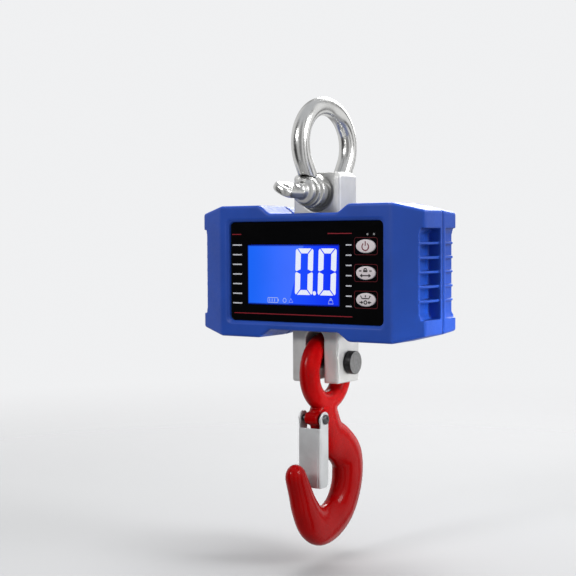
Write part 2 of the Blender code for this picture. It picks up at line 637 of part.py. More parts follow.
def make_shackle_bow(steel):
    ear_mid = sum(EAR_Y) / 2 / BOW_STRETCH
    rise = BOW_Z - PIN_Z
    reach = math.hypot(ear_mid, rise)
    lean = math.atan2(rise, -ear_mid) - math.asin(BOW_R / reach)
    tangent = lean - math.pi / 2
    steps = 16
    path = [Vector((0, ear_mid + math.cos(lean) * d, PIN_Z + math.sin(lean) * d)) for d in (2.0, 14.0)]
    for step in range(steps + 1):
        angle = tangent + (math.pi - 2 * tangent) * step / steps
        path.append(Vector((0, BOW_R * math.cos(angle), BOW_Z + BOW_R * math.sin(angle))))
    path += [Vector((0, -p.y, p.z)) for p in reversed(path[:2])]
    path = [Vector((0, p.y * BOW_STRETCH, p.z)) for p in path]
    rings = sweep(path, [(WIRE_R, WIRE_R)] * len(path), 14)
    bow = add_object("shackle_bow", loft(rings), steel, (0, 0, PIN_Z), smooth=40)
    for side in (-1, 1):
        ys = [side * y for y in EAR_Y]
        profile = [(ys[0], EAR_R - 0.8), (ys[0] + side * 0.8, EAR_R), (ys[1] - side * 1.8, EAR_R),
                   (ys[1] - side, EAR_R - 0.8), (ys[1] - side, EAR_R - 1.6), (ys[1], EAR_R - 1.8)]
        join(bow, turned(profile, "y", (0, PIN_Z), 24), "ear")
    cut(bow, turned([(-EAR_Y[1] - 9, PIN_R + GAP), (EAR_Y[1] + 9, PIN_R + GAP)], "y", (0, PIN_Z), 20), "pin_hole")
    for side in (-1, 1):
        ends = sorted((side * (EAR_Y[0] - 8), side * EAR_Y[0]))
        cut(bow, turned([(ends[0], EAR_R + 6), (ends[1], EAR_R + 6)], "y", (0, PIN_Z), 16), "jaw_face")
        seat = [(side * EAR_Y[1], WASHER_R + 0.6), (side * (EAR_Y[1] + 9), WASHER_R + 2.1)]
        cut(bow, turned(seat, "y", (0, PIN_Z), 24), "washer_seat")
    return bow


def make_shackle_pin(steel):
    profile = [(EAR_Y[1] + 1.8, PIN_R - 0.9), (EAR_Y[1] + 0.9, PIN_R), (-COLLAR_Y[0], PIN_R), (-COLLAR_Y[0], 8.0),
               (-COLLAR_Y[0] - 0.6, 8.8), (-COLLAR_Y[1] + 1.8, 8.8), (-COLLAR_Y[1] + 0.4, 7.6),
               (-COLLAR_Y[1] - 0.6, 6.2), (-34.5, 5.6), (-36.0, 4.2)]
    pin = add_object("shackle_pin", turned(profile, "y", (0, PIN_Z), 20), steel, (0, 0, PIN_Z), smooth=40)
    mid = -(COLLAR_Y[1] + PADDLE_TIP_Y) / 2 - 1.5
    length = PADDLE_TIP_Y - COLLAR_Y[1] - 3
    rings = []
    for z, shrink in ((-2.7, 1.6), (-1.7, 0.0), (1.7, 0.0), (2.7, 1.6)):
        outline = rounded(15.0 - shrink, length - shrink, 6.6, (0, mid), 5)
        rings.append([(x, y, z) for x, y in outline])
    paddle = loft(rings)
    roll = Matrix.Translation((0, 0, PIN_Z)) @ Matrix.Rotation(math.radians(30), 4, "Y")
    bmesh.ops.transform(paddle, matrix=roll, verts=paddle.verts)
    join(pin, paddle, "paddle")
    eye = turned([(-8, 3.2), (8, 3.2)], "z", (0, mid - 4.0), 16)
    bmesh.ops.transform(eye, matrix=roll, verts=eye.verts)
    cut(pin, eye, "bar_hole")
    return pin


def make_shackle_washer(steel):
    outer = turned([(-WASHER_Y[1], WASHER_R - 0.8), (-WASHER_Y[1] + 0.5, WASHER_R), (-WASHER_Y[0], WASHER_R)], "y",
                   (0, PIN_Z), 24)
    washer = add_object("shackle_washer", outer, steel, (0, 0, PIN_Z), smooth=40)
    cut(washer, turned([(-WASHER_Y[1] - 3, PIN_R + GAP), (-WASHER_Y[0] + 3, PIN_R + GAP)], "y", (0, PIN_Z), 20),
        "hole")


# ---------------------------------------------------------------- hook

def make_hook_pin(black, spring_steel):
    groove_x = -CELL_X - 0.9
    profile = [(-CELL_X - 4.2, HOOK_PIN_R - 0.9), (-CELL_X - 3.4, HOOK_PIN_R), (groove_x - 1.3, HOOK_PIN_R),
               (groove_x - 1.3, HOOK_PIN_R - 0.9), (groove_x + 0.3, HOOK_PIN_R - 0.9), (groove_x + 0.3, HOOK_PIN_R),
               (CELL_X + GAP, HOOK_PIN_R), (CELL_X + GAP, 7.6), (CELL_X + 0.8, 7.9), (CELL_X + 5.0, 7.9),
               (CELL_X + 5.5, 7.4)]
    add_object("hook_pin", turned(profile, "x", (0, HOOK_PIN_Z), 24), black, (0, 0, HOOK_PIN_Z), smooth=40)
    ring_x = groove_x - 1.0
    outer = turned([(ring_x, 8.0), (ring_x + 0.8, 8.0)], "x", (0, HOOK_PIN_Z), 24)
    clip = add_object("hook_pin_circlip", outer, spring_steel, (0, 0, HOOK_PIN_Z), smooth=40)
    cut(clip, turned([(ring_x - 2, HOOK_PIN_R - 0.6), (ring_x + 3, HOOK_PIN_R - 0.6)], "x", (0, HOOK_PIN_Z), 24),
        "bore")
    cut(clip, block(ring_x - 2, ring_x + 3, -1.8, 1.8, HOOK_PIN_Z + 3, HOOK_PIN_Z + 12), "mouth")


def make_hook(red):
    stations = smooth_path([Vector(s) for s in HOOK_SECTIONS], 3)
    path = [Vector((0, s[0], s[1])) for s in stations]
    radii = [(s[2], s[3]) for s in stations]
    tip = Vector((0, *HOOK_TIP))
    along = (tip - path[-1]).normalized()
    end = path[-1]
    wide, thick = radii[-1]
    reach = (tip - end).length
    for angle in (30, 55, 75):
        part = math.radians(angle)
        path.append(end + along * reach * math.sin(part))
        radii.append((wide * math.cos(part), thick * math.cos(part)))
    rings = sweep(path, radii, 16)
    hook = add_object("hook_body", loft(rings), red, (0, 0, HOOK_PIN_Z), smooth=50)
    eye_rings = []
    for step in range(EYE_STEPS):
        angle = 2 * math.pi * step / EYE_STEPS
        out = Vector((0, math.cos(angle), math.sin(angle)))
        centre = Vector((0, 0, EYE_Z)) + out * EYE_R
        turns = [2 * math.pi * k / 14 for k in range(14)]
        eye_rings.append([centre + out * EYE_WIRE_R * math.cos(t) + Vector((EYE_WIRE_X * math.sin(t), 0, 0))
                          for t in turns])
    join(hook, closed_loft(eye_rings), "eye")
    lug = [(-5.4, 3.6), (-4.6, 4.6), (4.6, 4.6), (5.4, 3.6)]
    join(hook, turned(lug, "x", RIVET, 20), "latch_lug")
    cut(hook, turned([(-14, RIVET_R + GAP), (14, RIVET_R + GAP)], "x", RIVET, 16), "rivet_hole")
    return hook


def make_latch(zinc, dark, spring_steel):
    front, back = LATCH_FRONT_Y, LATCH_BACK_Y
    outer_x, wall = LATCH_X, LATCH_T
    channel = [(-outer_x, back), (-outer_x, front + 1.0), (-outer_x + 1.0, front), (outer_x - 1.0, front),
               (outer_x, front + 1.0), (outer_x, back), (outer_x - wall, back), (outer_x - wall, front + wall + 0.6),
               (outer_x - wall - 0.6, front + wall), (-outer_x + wall + 0.6, front + wall),
               (-outer_x + wall, front + wall + 0.6), (-outer_x + wall, back)]
    latch = add_object("safety_latch", prism(channel, "z", LATCH_BOTTOM, LATCH_TOP), zinc,
                       (0, RIVET[0], RIVET[1]))
    for side in (-1, 1):
        xs = sorted((side * (outer_x - wall), side * outer_x))
        ear = [(RIVET[0] + 5.2 * math.cos(a), RIVET[1] + 5.2 * math.sin(a))
               for a in [math.radians(-20 + 220 * step / 10) for step in range(11)]]
        ear += [(front + 1.4, LATCH_TOP - 2.0), (back - 0.4, LATCH_TOP - 2.0)]
        join(latch, prism(ear, "x", *xs), "ear")
    cut(latch, turned([(-14, RIVET_R + GAP), (14, RIVET_R + GAP)], "x", RIVET, 16), "rivet_hole")
    profile = [(-outer_x - 1.7, 2.6), (-outer_x - 1.3, 3.4), (-outer_x - GAP, 3.4), (-outer_x - GAP, RIVET_R),
               (outer_x + GAP, RIVET_R), (outer_x + GAP, 3.4), (outer_x + 1.3, 3.4), (outer_x + 1.7, 2.6)]
    add_object("latch_rivet", turned(profile, "x", RIVET, 20), dark, (0, RIVET[0], RIVET[1]), smooth=40)
    make_latch_spring(spring_steel)


def make_latch_spring(spring_steel):
    """Torsion coil between the hook and the right ear of the latch, with a leg that pushes the latch shut."""
    wire = 0.4
    coil_r = 3.0
    turns = 1.5
    steps = 20
    path = []
    for step in range(steps + 1):
        angle = 2 * math.pi * turns * step / steps
        x = 6.0 + 1.4 * step / steps
        path.append(Vector((x, RIVET[0] + coil_r * math.cos(angle), RIVET[1] + coil_r * math.sin(angle))))
    path.insert(0, path[0] + Vector((0, 0, -5.0)))
    path.append(path[-1] + Vector((0, -1.2, -8.0)))
    rings = []
    for i, point in enumerate(path):
        ahead = path[min(i + 1, len(path) - 1)]
        behind = path[max(i - 1, 0)]
        along = (ahead - behind).normalized()
        one = along.cross(Vector((1, 0, 0))).normalized()
        two = along.cross(one)
        rings.append([point + one * wire * math.cos(a) + two * wire * math.sin(a)
                      for a in [math.pi * k / 3 for k in range(6)]])
    add_object("latch_spring", loft(rings), spring_steel, (0, RIVET[0], RIVET[1]), smooth=60)


# ---------------------------------------------------------------- assembly

def main():
    clear_scene()
    cell_steel = material("cell_steel", (0.62, 0.62, 0.61), 0.42, 0.85)
    bright_steel = material("bright_steel", (0.78, 0.78, 0.77), 0.2, 1.0)
    black_steel = material("black_steel", (0.03, 0.03, 0.03), 0.35, 0.6)
    spring_steel = material("spring_steel", (0.12, 0.12, 0.12), 0.35, 1.0)
    zinc = material("zinc_plate", (0.66, 0.67, 0.68), 0.35, 1.0)
    red = material("red_paint", (0.55, 0.006, 0.008), 0.22, 0.0, 0.6)
    blue = material("blue_plastic", (0.028, 0.085, 0.36), 0.42)
    black = material("black_fascia", (0.004, 0.004, 0.005), 0.08, 0.0, 0.5)
    glass = material("lcd_glass", (0.02, 0.1, 0.95), 0.05)
    lit = material("backlight", (0.05, 0.2, 1.0), 0.5)
    key_grey = material("key_grey", (0.72, 0.66, 0.68), 0.4)
    dark = material("dark_plastic", (0.03, 0.03, 0.035), 0.5)
    pale = material("pale_plastic", (0.8, 0.78, 0.7), 0.5)
    led = material("led_lens", (0.85, 0.85, 0.85), 0.2)
    green = material("circuit_board", (0.01, 0.13, 0.05), 0.4)
    rubber = material("black_rubber", (0.02, 0.02, 0.02), 0.8)
    screw_steel = material("screw_steel", (0.5, 0.5, 0.5), 0.3, 1.0)
    contact = material("nickel_contact", (0.7, 0.68, 0.62), 0.3, 1.0)
    wrap = material("battery_wrap", (0.05, 0.06, 0.07), 0.35)

    make_load_cell(cell_steel)
    make_gauge_cover(dark)
    make_cell_brackets(zinc, screw_steel)
    make_front_shell(blue)
    make_rear_shell(blue)
    make_housing_screws(screw_steel)
    make_gaskets(rubber)
    make_cell_seals(rubber)
    make_fascia(black, glass, lit, dark, led)
    make_keys(key_grey, dark, dark)
    make_electronics(green, dark, pale, contact, screw_steel)
    make_sensor_cable(rubber)
    make_battery_bay(dark, contact, wrap, blue)
    make_shackle_bow(bright_steel)
    make_shackle_pin(bright_steel)
    make_shackle_washer(bright_steel)
    make_hook_pin(black_steel, spring_steel)
    make_hook(red)
    make_latch(zinc, black_steel, spring_steel)


main()
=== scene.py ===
"""Looks for the hanging crane scale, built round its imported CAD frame.

Pieces are modelled in millimetres from the housing's mid-height on the load line, with X to the right, Y to
the back and Z up. raw_object() turns them into metres in the frame.
"""

import json
import math

import bmesh
import bpy
from mathutils import Matrix, Vector


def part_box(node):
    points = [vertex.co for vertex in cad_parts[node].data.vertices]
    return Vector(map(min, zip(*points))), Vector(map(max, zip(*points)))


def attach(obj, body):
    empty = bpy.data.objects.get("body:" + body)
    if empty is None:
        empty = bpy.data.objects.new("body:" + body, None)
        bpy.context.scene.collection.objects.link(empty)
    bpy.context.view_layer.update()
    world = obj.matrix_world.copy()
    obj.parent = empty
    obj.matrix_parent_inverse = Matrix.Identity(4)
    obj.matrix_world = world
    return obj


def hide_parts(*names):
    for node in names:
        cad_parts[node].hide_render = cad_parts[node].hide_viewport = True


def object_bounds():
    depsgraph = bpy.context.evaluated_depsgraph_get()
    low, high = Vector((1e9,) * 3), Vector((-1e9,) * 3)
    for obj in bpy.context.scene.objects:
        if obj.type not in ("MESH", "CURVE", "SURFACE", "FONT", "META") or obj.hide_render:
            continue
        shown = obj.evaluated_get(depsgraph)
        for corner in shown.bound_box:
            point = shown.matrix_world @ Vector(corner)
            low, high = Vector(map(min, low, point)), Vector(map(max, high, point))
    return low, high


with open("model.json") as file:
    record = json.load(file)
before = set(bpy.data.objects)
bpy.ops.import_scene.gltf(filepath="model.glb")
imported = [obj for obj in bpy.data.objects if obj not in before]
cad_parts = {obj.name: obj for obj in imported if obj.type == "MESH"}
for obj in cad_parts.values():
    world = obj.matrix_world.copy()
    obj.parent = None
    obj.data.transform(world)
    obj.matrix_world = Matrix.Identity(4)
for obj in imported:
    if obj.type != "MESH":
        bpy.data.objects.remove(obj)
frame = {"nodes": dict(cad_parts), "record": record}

CAD_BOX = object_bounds()
MM = 0.001
X_AXIS = Vector((1, 0, 0))
SHELL_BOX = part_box("front_shell")
CELL_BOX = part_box("load_cell")
MID = Vector((0, 0, (SHELL_BOX[0].z + SHELL_BOX[1].z) / 2))

# Load cell and shackle
CELL_X = CELL_BOX[1].x / MM
CELL_TOP = (CELL_BOX[1].z - MID.z) / MM
CELL_BOTTOM = (CELL_BOX[0].z - MID.z) / MM
CELL_LOW_Y = CELL_BOX[1].y / MM
CELL_UP_Y = 11.2
CELL_STEP_Z = -8.0
CELL_CHAMFER = 3.0              # round the top face
GAUGE_BORE_R = 8.0
FORK_X = 7.3
FORK_TOP = -39.0
WEB_Y = 8.7
POCKET_R = 13.6
CLEARANCE = 0.3                 # round every pin
PIN_Z = 54.1
PIN_R = 6.0
WIRE_R = 6.2
EAR_R = 11.5
EAR_Y = (9.3, 20.8)
BOW_R = 26.3
BOW_STRETCH = 1.15              # the bow is wider than round
BOW_Z = 85.7
WASHER_R = 10.2
WASHER_Y = (21.1, 23.4)
COLLAR_Y = (23.7, 29.0)
COLLAR_R = 8.8
PADDLE_WIDTH = 15.0
PADDLE_TIP_Y = 56.0
PADDLE_ROLL = 30
PADDLE_EYE_R = 3.2

# Hook
HOOK_PIN_Z = -61.5
HOOK_PIN_R = 5.5
HOOK_PIN_HEAD_R = 7.9
HOOK_PIN_HEAD_T = 5.2
EYE_R = 20.5
EYE_WIRE_R = 7.3                # in the hook's plane
EYE_WIRE_X = 6.8
EYE_Z = HOOK_PIN_Z + HOOK_PIN_R + CLEARANCE - (EYE_R - EYE_WIRE_R)
# From the neck to the tip: y, z, half width in the hook's plane, half thickness
HOOK_SECTIONS = (
    (-3.4, -92.0, 13.8, 6.7), (-2.0, -101.6, 15.0, 7.0), (5.6, -113.9, 14.2, 7.6),
    (17.6, -121.9, 14.4, 8.2), (26.8, -131.2, 15.3, 8.6), (28.3, -142.0, 15.3, 8.8),
    (25.8, -153.4, 14.6, 8.8), (18.4, -164.9, 14.3, 8.8), (6.4, -172.5, 13.8, 8.7),
    (-7.5, -174.2, 13.6, 8.6), (-19.1, -168.6, 12.8, 8.3), (-27.5, -157.5, 11.0, 7.8),
    (-32.7, -146.5, 9.3, 7.2), (-37.4, -136.4, 8.1, 6.8),
)
HOOK_TIP = (-41.0, -127.6)
RIVET = (-15.5, -99.4)
RIVET_R = 2.0
LUG_R = 4.4
SPRING_R = 3.0
LATCH_X = 9.0
LATCH_T = 1.0
LATCH_FRONT_Y = -21.6
LATCH_BACK_Y = -11.2
LATCH_TOP = -105.8
LATCH_BOTTOM = -145.6
LATCH_EAR_R = 5.2
LATCH_BEND = 1.8

# Fascia
PANEL_Y = -26.2
PANEL_SIZE = (121.4, 67.5)
PANEL_T = 0.7
WINDOW = (-46.9, 27.4, -22.4, 18.3)
LED_XS = (48.6, 53.4)
LED_Z = 25.0
KEY_X = 47.3
KEY_ZS = {"power": 17.3, "hold": 0.0, "zero": -17.3}
KEY_SIZE = (14.6, 8.8)
KEY_TOP_Y = PANEL_Y - 0.7
DISPLAY_Y = PANEL_Y + 0.15
PRINT_T = 0.04                  # how far printing stands proud
SYMBOL_T = 0.03
DIGIT_XS = (-7.9, 10.2)
DIGIT_Z = -15.2
DIGIT_LEAN = 2.0
MARKS_Z = -19.2
TICK_XS = ((-59.2, -51.5), (32.2, 36.6))
TICK_ZS = (18.1, -21.9)
TICKS = 7

# Studio
FLOOR_R = 1.5                   # metres
FLOOR_GAP = 0.012
BACKDROP = (0.87, 0.875, 0.885)
# The studio that the object reflects: compass direction in degrees and brightness
ROOM = (
    (-180, 0.75), (-156, 0.70), (-146, 0.10), (-136, 0.03), (-112, 0.03), (-104, 0.55), (-78, 0.60),
    (-70, 0.22), (-47, 0.28), (-38, 0.80), (-24, 0.80), (-20, 0.12), (-12, 0.12), (-8, 0.9), (12, 0.9),
    (16, 0.06), (28, 0.06), (32, 0.95), (58, 1.0), (64, 0.15), (71, 0.15), (76, 1.0), (94, 1.0),
    (98, 0.2), (104, 0.2), (109, 0.9), (120, 0.75), (132, 0.3), (150, 0.75),
)
CEILING = (0.62, 0.63, 0.65)
GROUND = (0.42, 0.42, 0.43)


# ---------------------------------------------------------------- shape helpers

def loft(rings, closed_ends=True):
    bm = bmesh.new()
    made = [[bm.verts.new(point) for point in ring] for ring in rings]
    count = len(made[0])
    for low, high in zip(made, made[1:]):
        for i in range(count):
            j = (i + 1) % count
            bm.faces.new((low[i], low[j], high[j], high[i]))
    if closed_ends:
        bm.faces.new(made[0][::-1])
        bm.faces.new(made[-1])
    return bm


def closed_loft(rings):
    bm = loft(rings, closed_ends=False)
    bm.verts.ensure_lookup_table()
    count = len(rings[0])
    last = (len(rings) - 1) * count
    for i in range(count):
        j = (i + 1) % count
        bm.faces.new((bm.verts[last + i], bm.verts[last + j], bm.verts[j], bm.verts[i]))
    return bm


def prism(outline, axis, low, high):
    places = {"x": lambda a, b, h: (h, a, b), "y": lambda a, b, h: (a, h, b), "z": lambda a, b, h: (a, b, h)}
    place = places[axis]
    return loft([[place(a, b, h) for a, b in outline] for h in (low, high)])


def arc(centre, radius, start, end, steps):
    """Points of an arc, in degrees."""
    made = []
    for step in range(steps + 1):
        angle = math.radians(start + (end - start) * step / steps)
        made.append((centre[0] + radius * math.cos(angle), centre[1] + radius * math.sin(angle)))
    return made


def rounded(width, height, radius, centre=(0, 0), steps=8):
    outline = []
    for sx, sy, start in ((1, 1, 0), (-1, 1, 90), (-1, -1, 180), (1, -1, 270)):
        corner = (centre[0] + sx * (width / 2 - radius), centre[1] + sy * (height / 2 - radius))
        outline += arc(corner, radius, start, start + 90, steps)
    return outline


def ellipse(width, height, centre=(0, 0), steps=64):
    angles = [2 * math.pi * step / steps for step in range(steps)]
    return [(centre[0] + width / 2 * math.cos(a), centre[1] + height / 2 * math.sin(a)) for a in angles]


def turned(profile, axis, centre, steps=64):
    """A solid of revolution. The profile holds (distance along the axis, radius) from end to end."""
    rings = []
    for along, radius in profile:
        circle = ellipse(2 * radius, 2 * radius, steps=steps)
        if axis == "x":
            rings.append([(along, centre[0] + a, centre[1] + b) for a, b in circle])
        elif axis == "y":
            rings.append([(centre[0] + a, along, centre[1] + b) for a, b in circle])
        else:
            rings.append([(centre[0] + a, centre[1] + b, along) for a, b in circle])
    return loft(rings)


def rod(radius, start, end, axis, centre, steps=64):
    return turned([(start, radius), (end, radius)], axis, centre, steps)


def soft_profile(profile, radius, steps=4):
    """Rounds the inner corners of a turned profile."""
    points = [Vector(p) for p in profile]
    made = [points[0]]
    for before, corner, after in zip(points, points[1:], points[2:]):
        back = before - corner
        ahead = after - corner
        reach = min(radius, back.length * 0.45, ahead.length * 0.45)
        start = corner + back.normalized() * reach
        end = corner + ahead.normalized() * reach
        for step in range(steps + 1):
            t = step / steps
            made.append(start * (1 - t) ** 2 + corner * 2 * t * (1 - t) + end * t * t)
    made.append(points[-1])
    return [tuple(p) for p in made]


def sweep(path, radii, steps=32):
    """Rings across a path in the YZ plane. radii holds the half width in the plane and the half thickness."""
    rings = []
    for i, point in enumerate(path):
        ahead = path[min(i + 1, len(path) - 1)]
        behind = path[max(i - 1, 0)]
        across = (ahead - behind).normalized().cross(X_AXIS).normalized()
        wide, thick = radii[i]
        ring = []
        for step in range(steps):
            angle = 2 * math.pi * step / steps
            ring.append(point + across * wide * math.cos(angle) + X_AXIS * thick * math.sin(angle))
        rings.append(ring)
    return rings


def smooth_path(points, steps):
    padded = [points[0] * 2 - points[1]] + list(points) + [points[-1] * 2 - points[-2]]
    made = []
    for p0, p1, p2, p3 in zip(padded, padded[1:], padded[2:], padded[3:]):
        for step in range(steps):
            t = step / steps
            made.append(0.5 * (2 * p1 + (p2 - p0) * t + (2 * p0 - 5 * p1 + 4 * p2 - p3) * t * t
                               + (3 * p1 - p0 - 3 * p2 + p3) * t ** 3))
    made.append(points[-1].copy())
    return made


def ribbon(path, width, y0, y1, closed=False):
    """A raised line in the XZ plane along a path of (x, z)."""
    count = len(path)
    rings = []
    for i, (x, z) in enumerate(path):
        ahead = path[(i + 1) % count if closed else min(i + 1, count - 1)]
        behind = path[(i - 1) % count if closed else max(i - 1, 0)]
        along = Vector((ahead[0] - behind[0], ahead[1] - behind[1])).normalized()
        nx, nz = -along.y * width / 2, along.x * width / 2
        rings.append([(x + nx, y0, z + nz), (x - nx, y0, z - nz), (x - nx, y1, z - nz), (x + nx, y1, z + nz)])
    return closed_loft(rings) if closed else loft(rings)


def merged(parts):
    """One bmesh that holds several closed bodies."""
    whole = bmesh.new()
    for part in parts:
        mesh = bpy.data.meshes.new("part")
        part.to_mesh(mesh)
        part.free()
        whole.from_mesh(mesh)
        bpy.data.meshes.remove(mesh)
    return whole


# ---------------------------------------------------------------- pieces

def raw_object(name, bm):
    """An object from a bmesh in millimetres, which it frees."""
    bmesh.ops.recalc_face_normals(bm, faces=bm.faces)
    bmesh.ops.scale(bm, vec=(MM, MM, MM), verts=bm.verts)
    bmesh.ops.translate(bm, vec=MID, verts=bm.verts)
    mesh = bpy.data.meshes.new(name)
    bm.to_mesh(mesh)
    bm.free()
    obj = bpy.data.objects.new(name, mesh)
    bpy.context.scene.collection.objects.link(obj)
    return obj


def settle(obj, smooth=None):
    """Applies the object's modifiers. Given smooth, only edges above that many degrees stay sharp."""
    bpy.context.view_layer.update()
    depsgraph = bpy.context.evaluated_depsgraph_get()
    mesh = bpy.data.meshes.new_from_object(obj.evaluated_get(depsgraph))
    obj.modifiers.clear()
    obj.data = mesh
    if smooth:
        mesh.shade_smooth()
        if smooth < 180:
            mesh.set_sharp_from_angle(angle=math.radians(smooth))


def new_piece(obj, finish, body, nodes=()):
    """Gives a shape its material and its body, and hides the CAD nodes that it stands for."""
    obj.data.materials.clear()
    obj.data.materials.append(finish)
    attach(obj, body)
    if nodes:
        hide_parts(*nodes)


def carved(name, bm, joins, cuts, smooth=None, bevel=0.0):
    """An object from a bmesh, with its edges bevelled and then joined and cut by exact Booleans."""
    obj = raw_object(name, bm)
    if bevel:
        modifier = obj.modifiers.new("edges", "BEVEL")
        modifier.width = bevel * MM
        modifier.segments = 4
        modifier.angle_limit = math.radians(40)
    tools = []
    for operation, bodies in (("UNION", joins), ("DIFFERENCE", cuts)):
        for body in bodies:
            tool = raw_object("tool", body)
            modifier = obj.modifiers.new("shape", "BOOLEAN")
            modifier.operation = operation
            modifier.solver = "EXACT"
            modifier.object = tool
            tools.append(tool)
    settle(obj, smooth)
    for tool in tools:
        bpy.data.objects.remove(tool)
    return obj


def shaped(name, bm, finish, body, nodes=(), smooth=40, joins=(), cuts=()):
    """A piece that keeps its crisp edges."""
    new_piece(carved(name, bm, joins, cuts, smooth), finish, body, nodes)


def soften(obj, voxel, passes, most_faces=150000):
    """Rounds every edge of a closed mesh a little, as moulding, forging or tumbling does."""
    remesh = obj.modifiers.new("remesh", "REMESH")
    remesh.mode = "VOXEL"
    remesh.voxel_size = voxel * MM
    relax = obj.modifiers.new("relax", "SMOOTH")
    relax.factor = 0.5
    relax.iterations = passes
    settle(obj, 180)
    triangles = 2 * len(obj.data.polygons)
    if triangles > most_faces:
        thin = obj.modifiers.new("thin", "DECIMATE")
        thin.ratio = most_faces / triangles
        settle(obj, 180)


def softened(name, bm, finish, body, nodes, joins, cuts, voxel, passes, bevel=0.0):
    """A piece whose edges are all a little round."""
    obj = carved(name, bm, joins, cuts, bevel=bevel)
    soften(obj, voxel, passes)
    new_piece(obj, finish, body, nodes)


def softened_node(node, name, finish, body, voxel, passes):
    """A finer piece from a CAD node's own mesh."""
    obj = bpy.data.objects.new(name, frame["nodes"][node].data.copy())
    bpy.context.scene.collection.objects.link(obj)
    soften(obj, voxel, passes)
    new_piece(obj, finish, body, (node,))


# ---------------------------------------------------------------- materials

class Nodes:
    """Short names for building a material's nodes."""

    def __init__(self, name):
        self.material = bpy.data.materials.new(name)
        self.material.use_nodes = True
        self.tree = self.material.node_tree
        self.shader = self.tree.nodes["Principled BSDF"]
        coordinates = self.tree.nodes.new("ShaderNodeTexCoord")
        self.place = coordinates.outputs["Object"]

    def link(self, source, target):
        self.tree.links.new(source, target)

    def put(self, target, value):
        if isinstance(value, (int, float)):
            target.default_value = value
        elif isinstance(value, tuple):
            opaque = len(value) == 3 and len(target.default_value) == 4
            target.default_value = (*value, 1.0) if opaque else value
        else:
            self.link(value, target)

    def noise(self, scale, detail=2.0, roughness=0.5, stretch=None, distortion=0.0):
        node = self.tree.nodes.new("ShaderNodeTexNoise")
        node.inputs["Scale"].default_value = scale
        node.inputs["Detail"].default_value = detail
        node.inputs["Roughness"].default_value = roughness
        node.inputs["Distortion"].default_value = distortion
        source = self.place
        if stretch:
            mapping = self.tree.nodes.new("ShaderNodeMapping")
            mapping.inputs["Scale"].default_value = stretch
            self.link(source, mapping.inputs["Vector"])
            source = mapping.outputs["Vector"]
        self.link(source, node.inputs["Vector"])
        return node.outputs["Fac"]

    def ramp(self, source, low, high, start=0.0, end=1.0, smooth=True):
        node = self.tree.nodes.new("ShaderNodeMapRange")
        if smooth:
            node.interpolation_type = "SMOOTHSTEP"
        for name, value in (("From Min", low), ("From Max", high), ("To Min", start), ("To Max", end)):
            node.inputs[name].default_value = value
        self.link(source, node.inputs["Value"])
        return node.outputs["Result"]

    def math(self, operation, a, b=0.0, clamp=False):
        node = self.tree.nodes.new("ShaderNodeMath")
        node.operation = operation
        node.use_clamp = clamp
        self.put(node.inputs[0], a)
        self.put(node.inputs[1], b)
        return node.outputs[0]

    def mix(self, factor, a, b, blend="MIX"):
        node = self.tree.nodes.new("ShaderNodeMix")
        node.data_type = "RGBA"
        node.blend_type = blend
        self.put(node.inputs["Factor"], factor)
        self.put(node.inputs["A"], a)
        self.put(node.inputs["B"], b)
        return node.outputs["Result"]

    def bump(self, height, distance, strength=1.0, normal=None):
        node = self.tree.nodes.new("ShaderNodeBump")
        node.inputs["Distance"].default_value = distance
        node.inputs["Strength"].default_value = strength
        self.link(height, node.inputs["Height"])
        if normal:
            self.link(normal, node.inputs["Normal"])
        return node.outputs["Normal"]

    def edges(self, low, high):
        """1 on outer edges and corners of a dense mesh."""
        geometry = self.tree.nodes.new("ShaderNodeNewGeometry")
        return self.ramp(geometry.outputs["Pointiness"], low, high)

    def corners(self, distance):
        """1 in the open, less in crevices."""
        node = self.tree.nodes.new("ShaderNodeAmbientOcclusion")
        node.samples = 4
        node.inputs["Distance"].default_value = distance
        return node.outputs["AO"]

    def axis(self, letter, source=None):
        node = self.tree.nodes.new("ShaderNodeSeparateXYZ")
        self.link(source or self.place, node.inputs[0])
        return node.outputs[letter]

    def finish(self, **values):
        for name, value in values.items():
            self.put(self.shader.inputs[name.replace("_", " ")], value)
        return self.material


def shade(colour, factor):
    return tuple(min(1.0, c * factor) for c in colour)


def plastic(name, colour, roughness=0.45, grain=2600.0, depth=0.00003, edge_wear_and_highlight=1.35, coat=0.0, sheen=0.5,
            mirrored=None):
    """Moulded plastic: fine spark-eroded grain, slow colour drift and lighter edges, partly rubbed wear and
    partly a painted sheen highlight.

    mirrored is the colour that other pieces reflect, where the plastic's own would tint them too much.
    """
    n = Nodes(name)
    drift = n.noise(45.0, 3.0)
    base = n.mix(n.ramp(drift, 0.3, 0.7), shade(colour, 0.93), shade(colour, 1.06))
    # Edges lighter, broken up by noise: partly rubbed wear, partly a painted sheen highlight.
    patchy_wear_and_highlight = n.noise(160.0, 5.0, 0.7, (1.0, 1.0, 0.25))
    worn_and_highlit_edge = n.math("MULTIPLY", n.edges(0.505, 0.54), n.ramp(patchy_wear_and_highlight, 0.25, 0.7, 0.35, 1.0))
    base = n.mix(n.math("MULTIPLY", worn_and_highlit_edge, 0.45), base, shade(colour, edge_wear_and_highlight))
    if mirrored:
        rays = n.tree.nodes.new("ShaderNodeLightPath")
        base = n.mix(n.math("MULTIPLY", rays.outputs["Is Glossy Ray"], 0.85), base, mirrored)
    rough = n.ramp(n.noise(420.0, 4.0, 0.6), 0.3, 0.7, roughness - 0.05, roughness + 0.07)
    height = n.math("ADD", n.noise(grain, 2.0, 0.6), n.math("MULTIPLY", n.noise(70.0, 1.0), 0.6))
    return n.finish(Base_Color=base, Roughness=rough, Coat_Weight=coat, Specular_IOR_Level=sheen,
                    Normal=n.bump(height, depth))


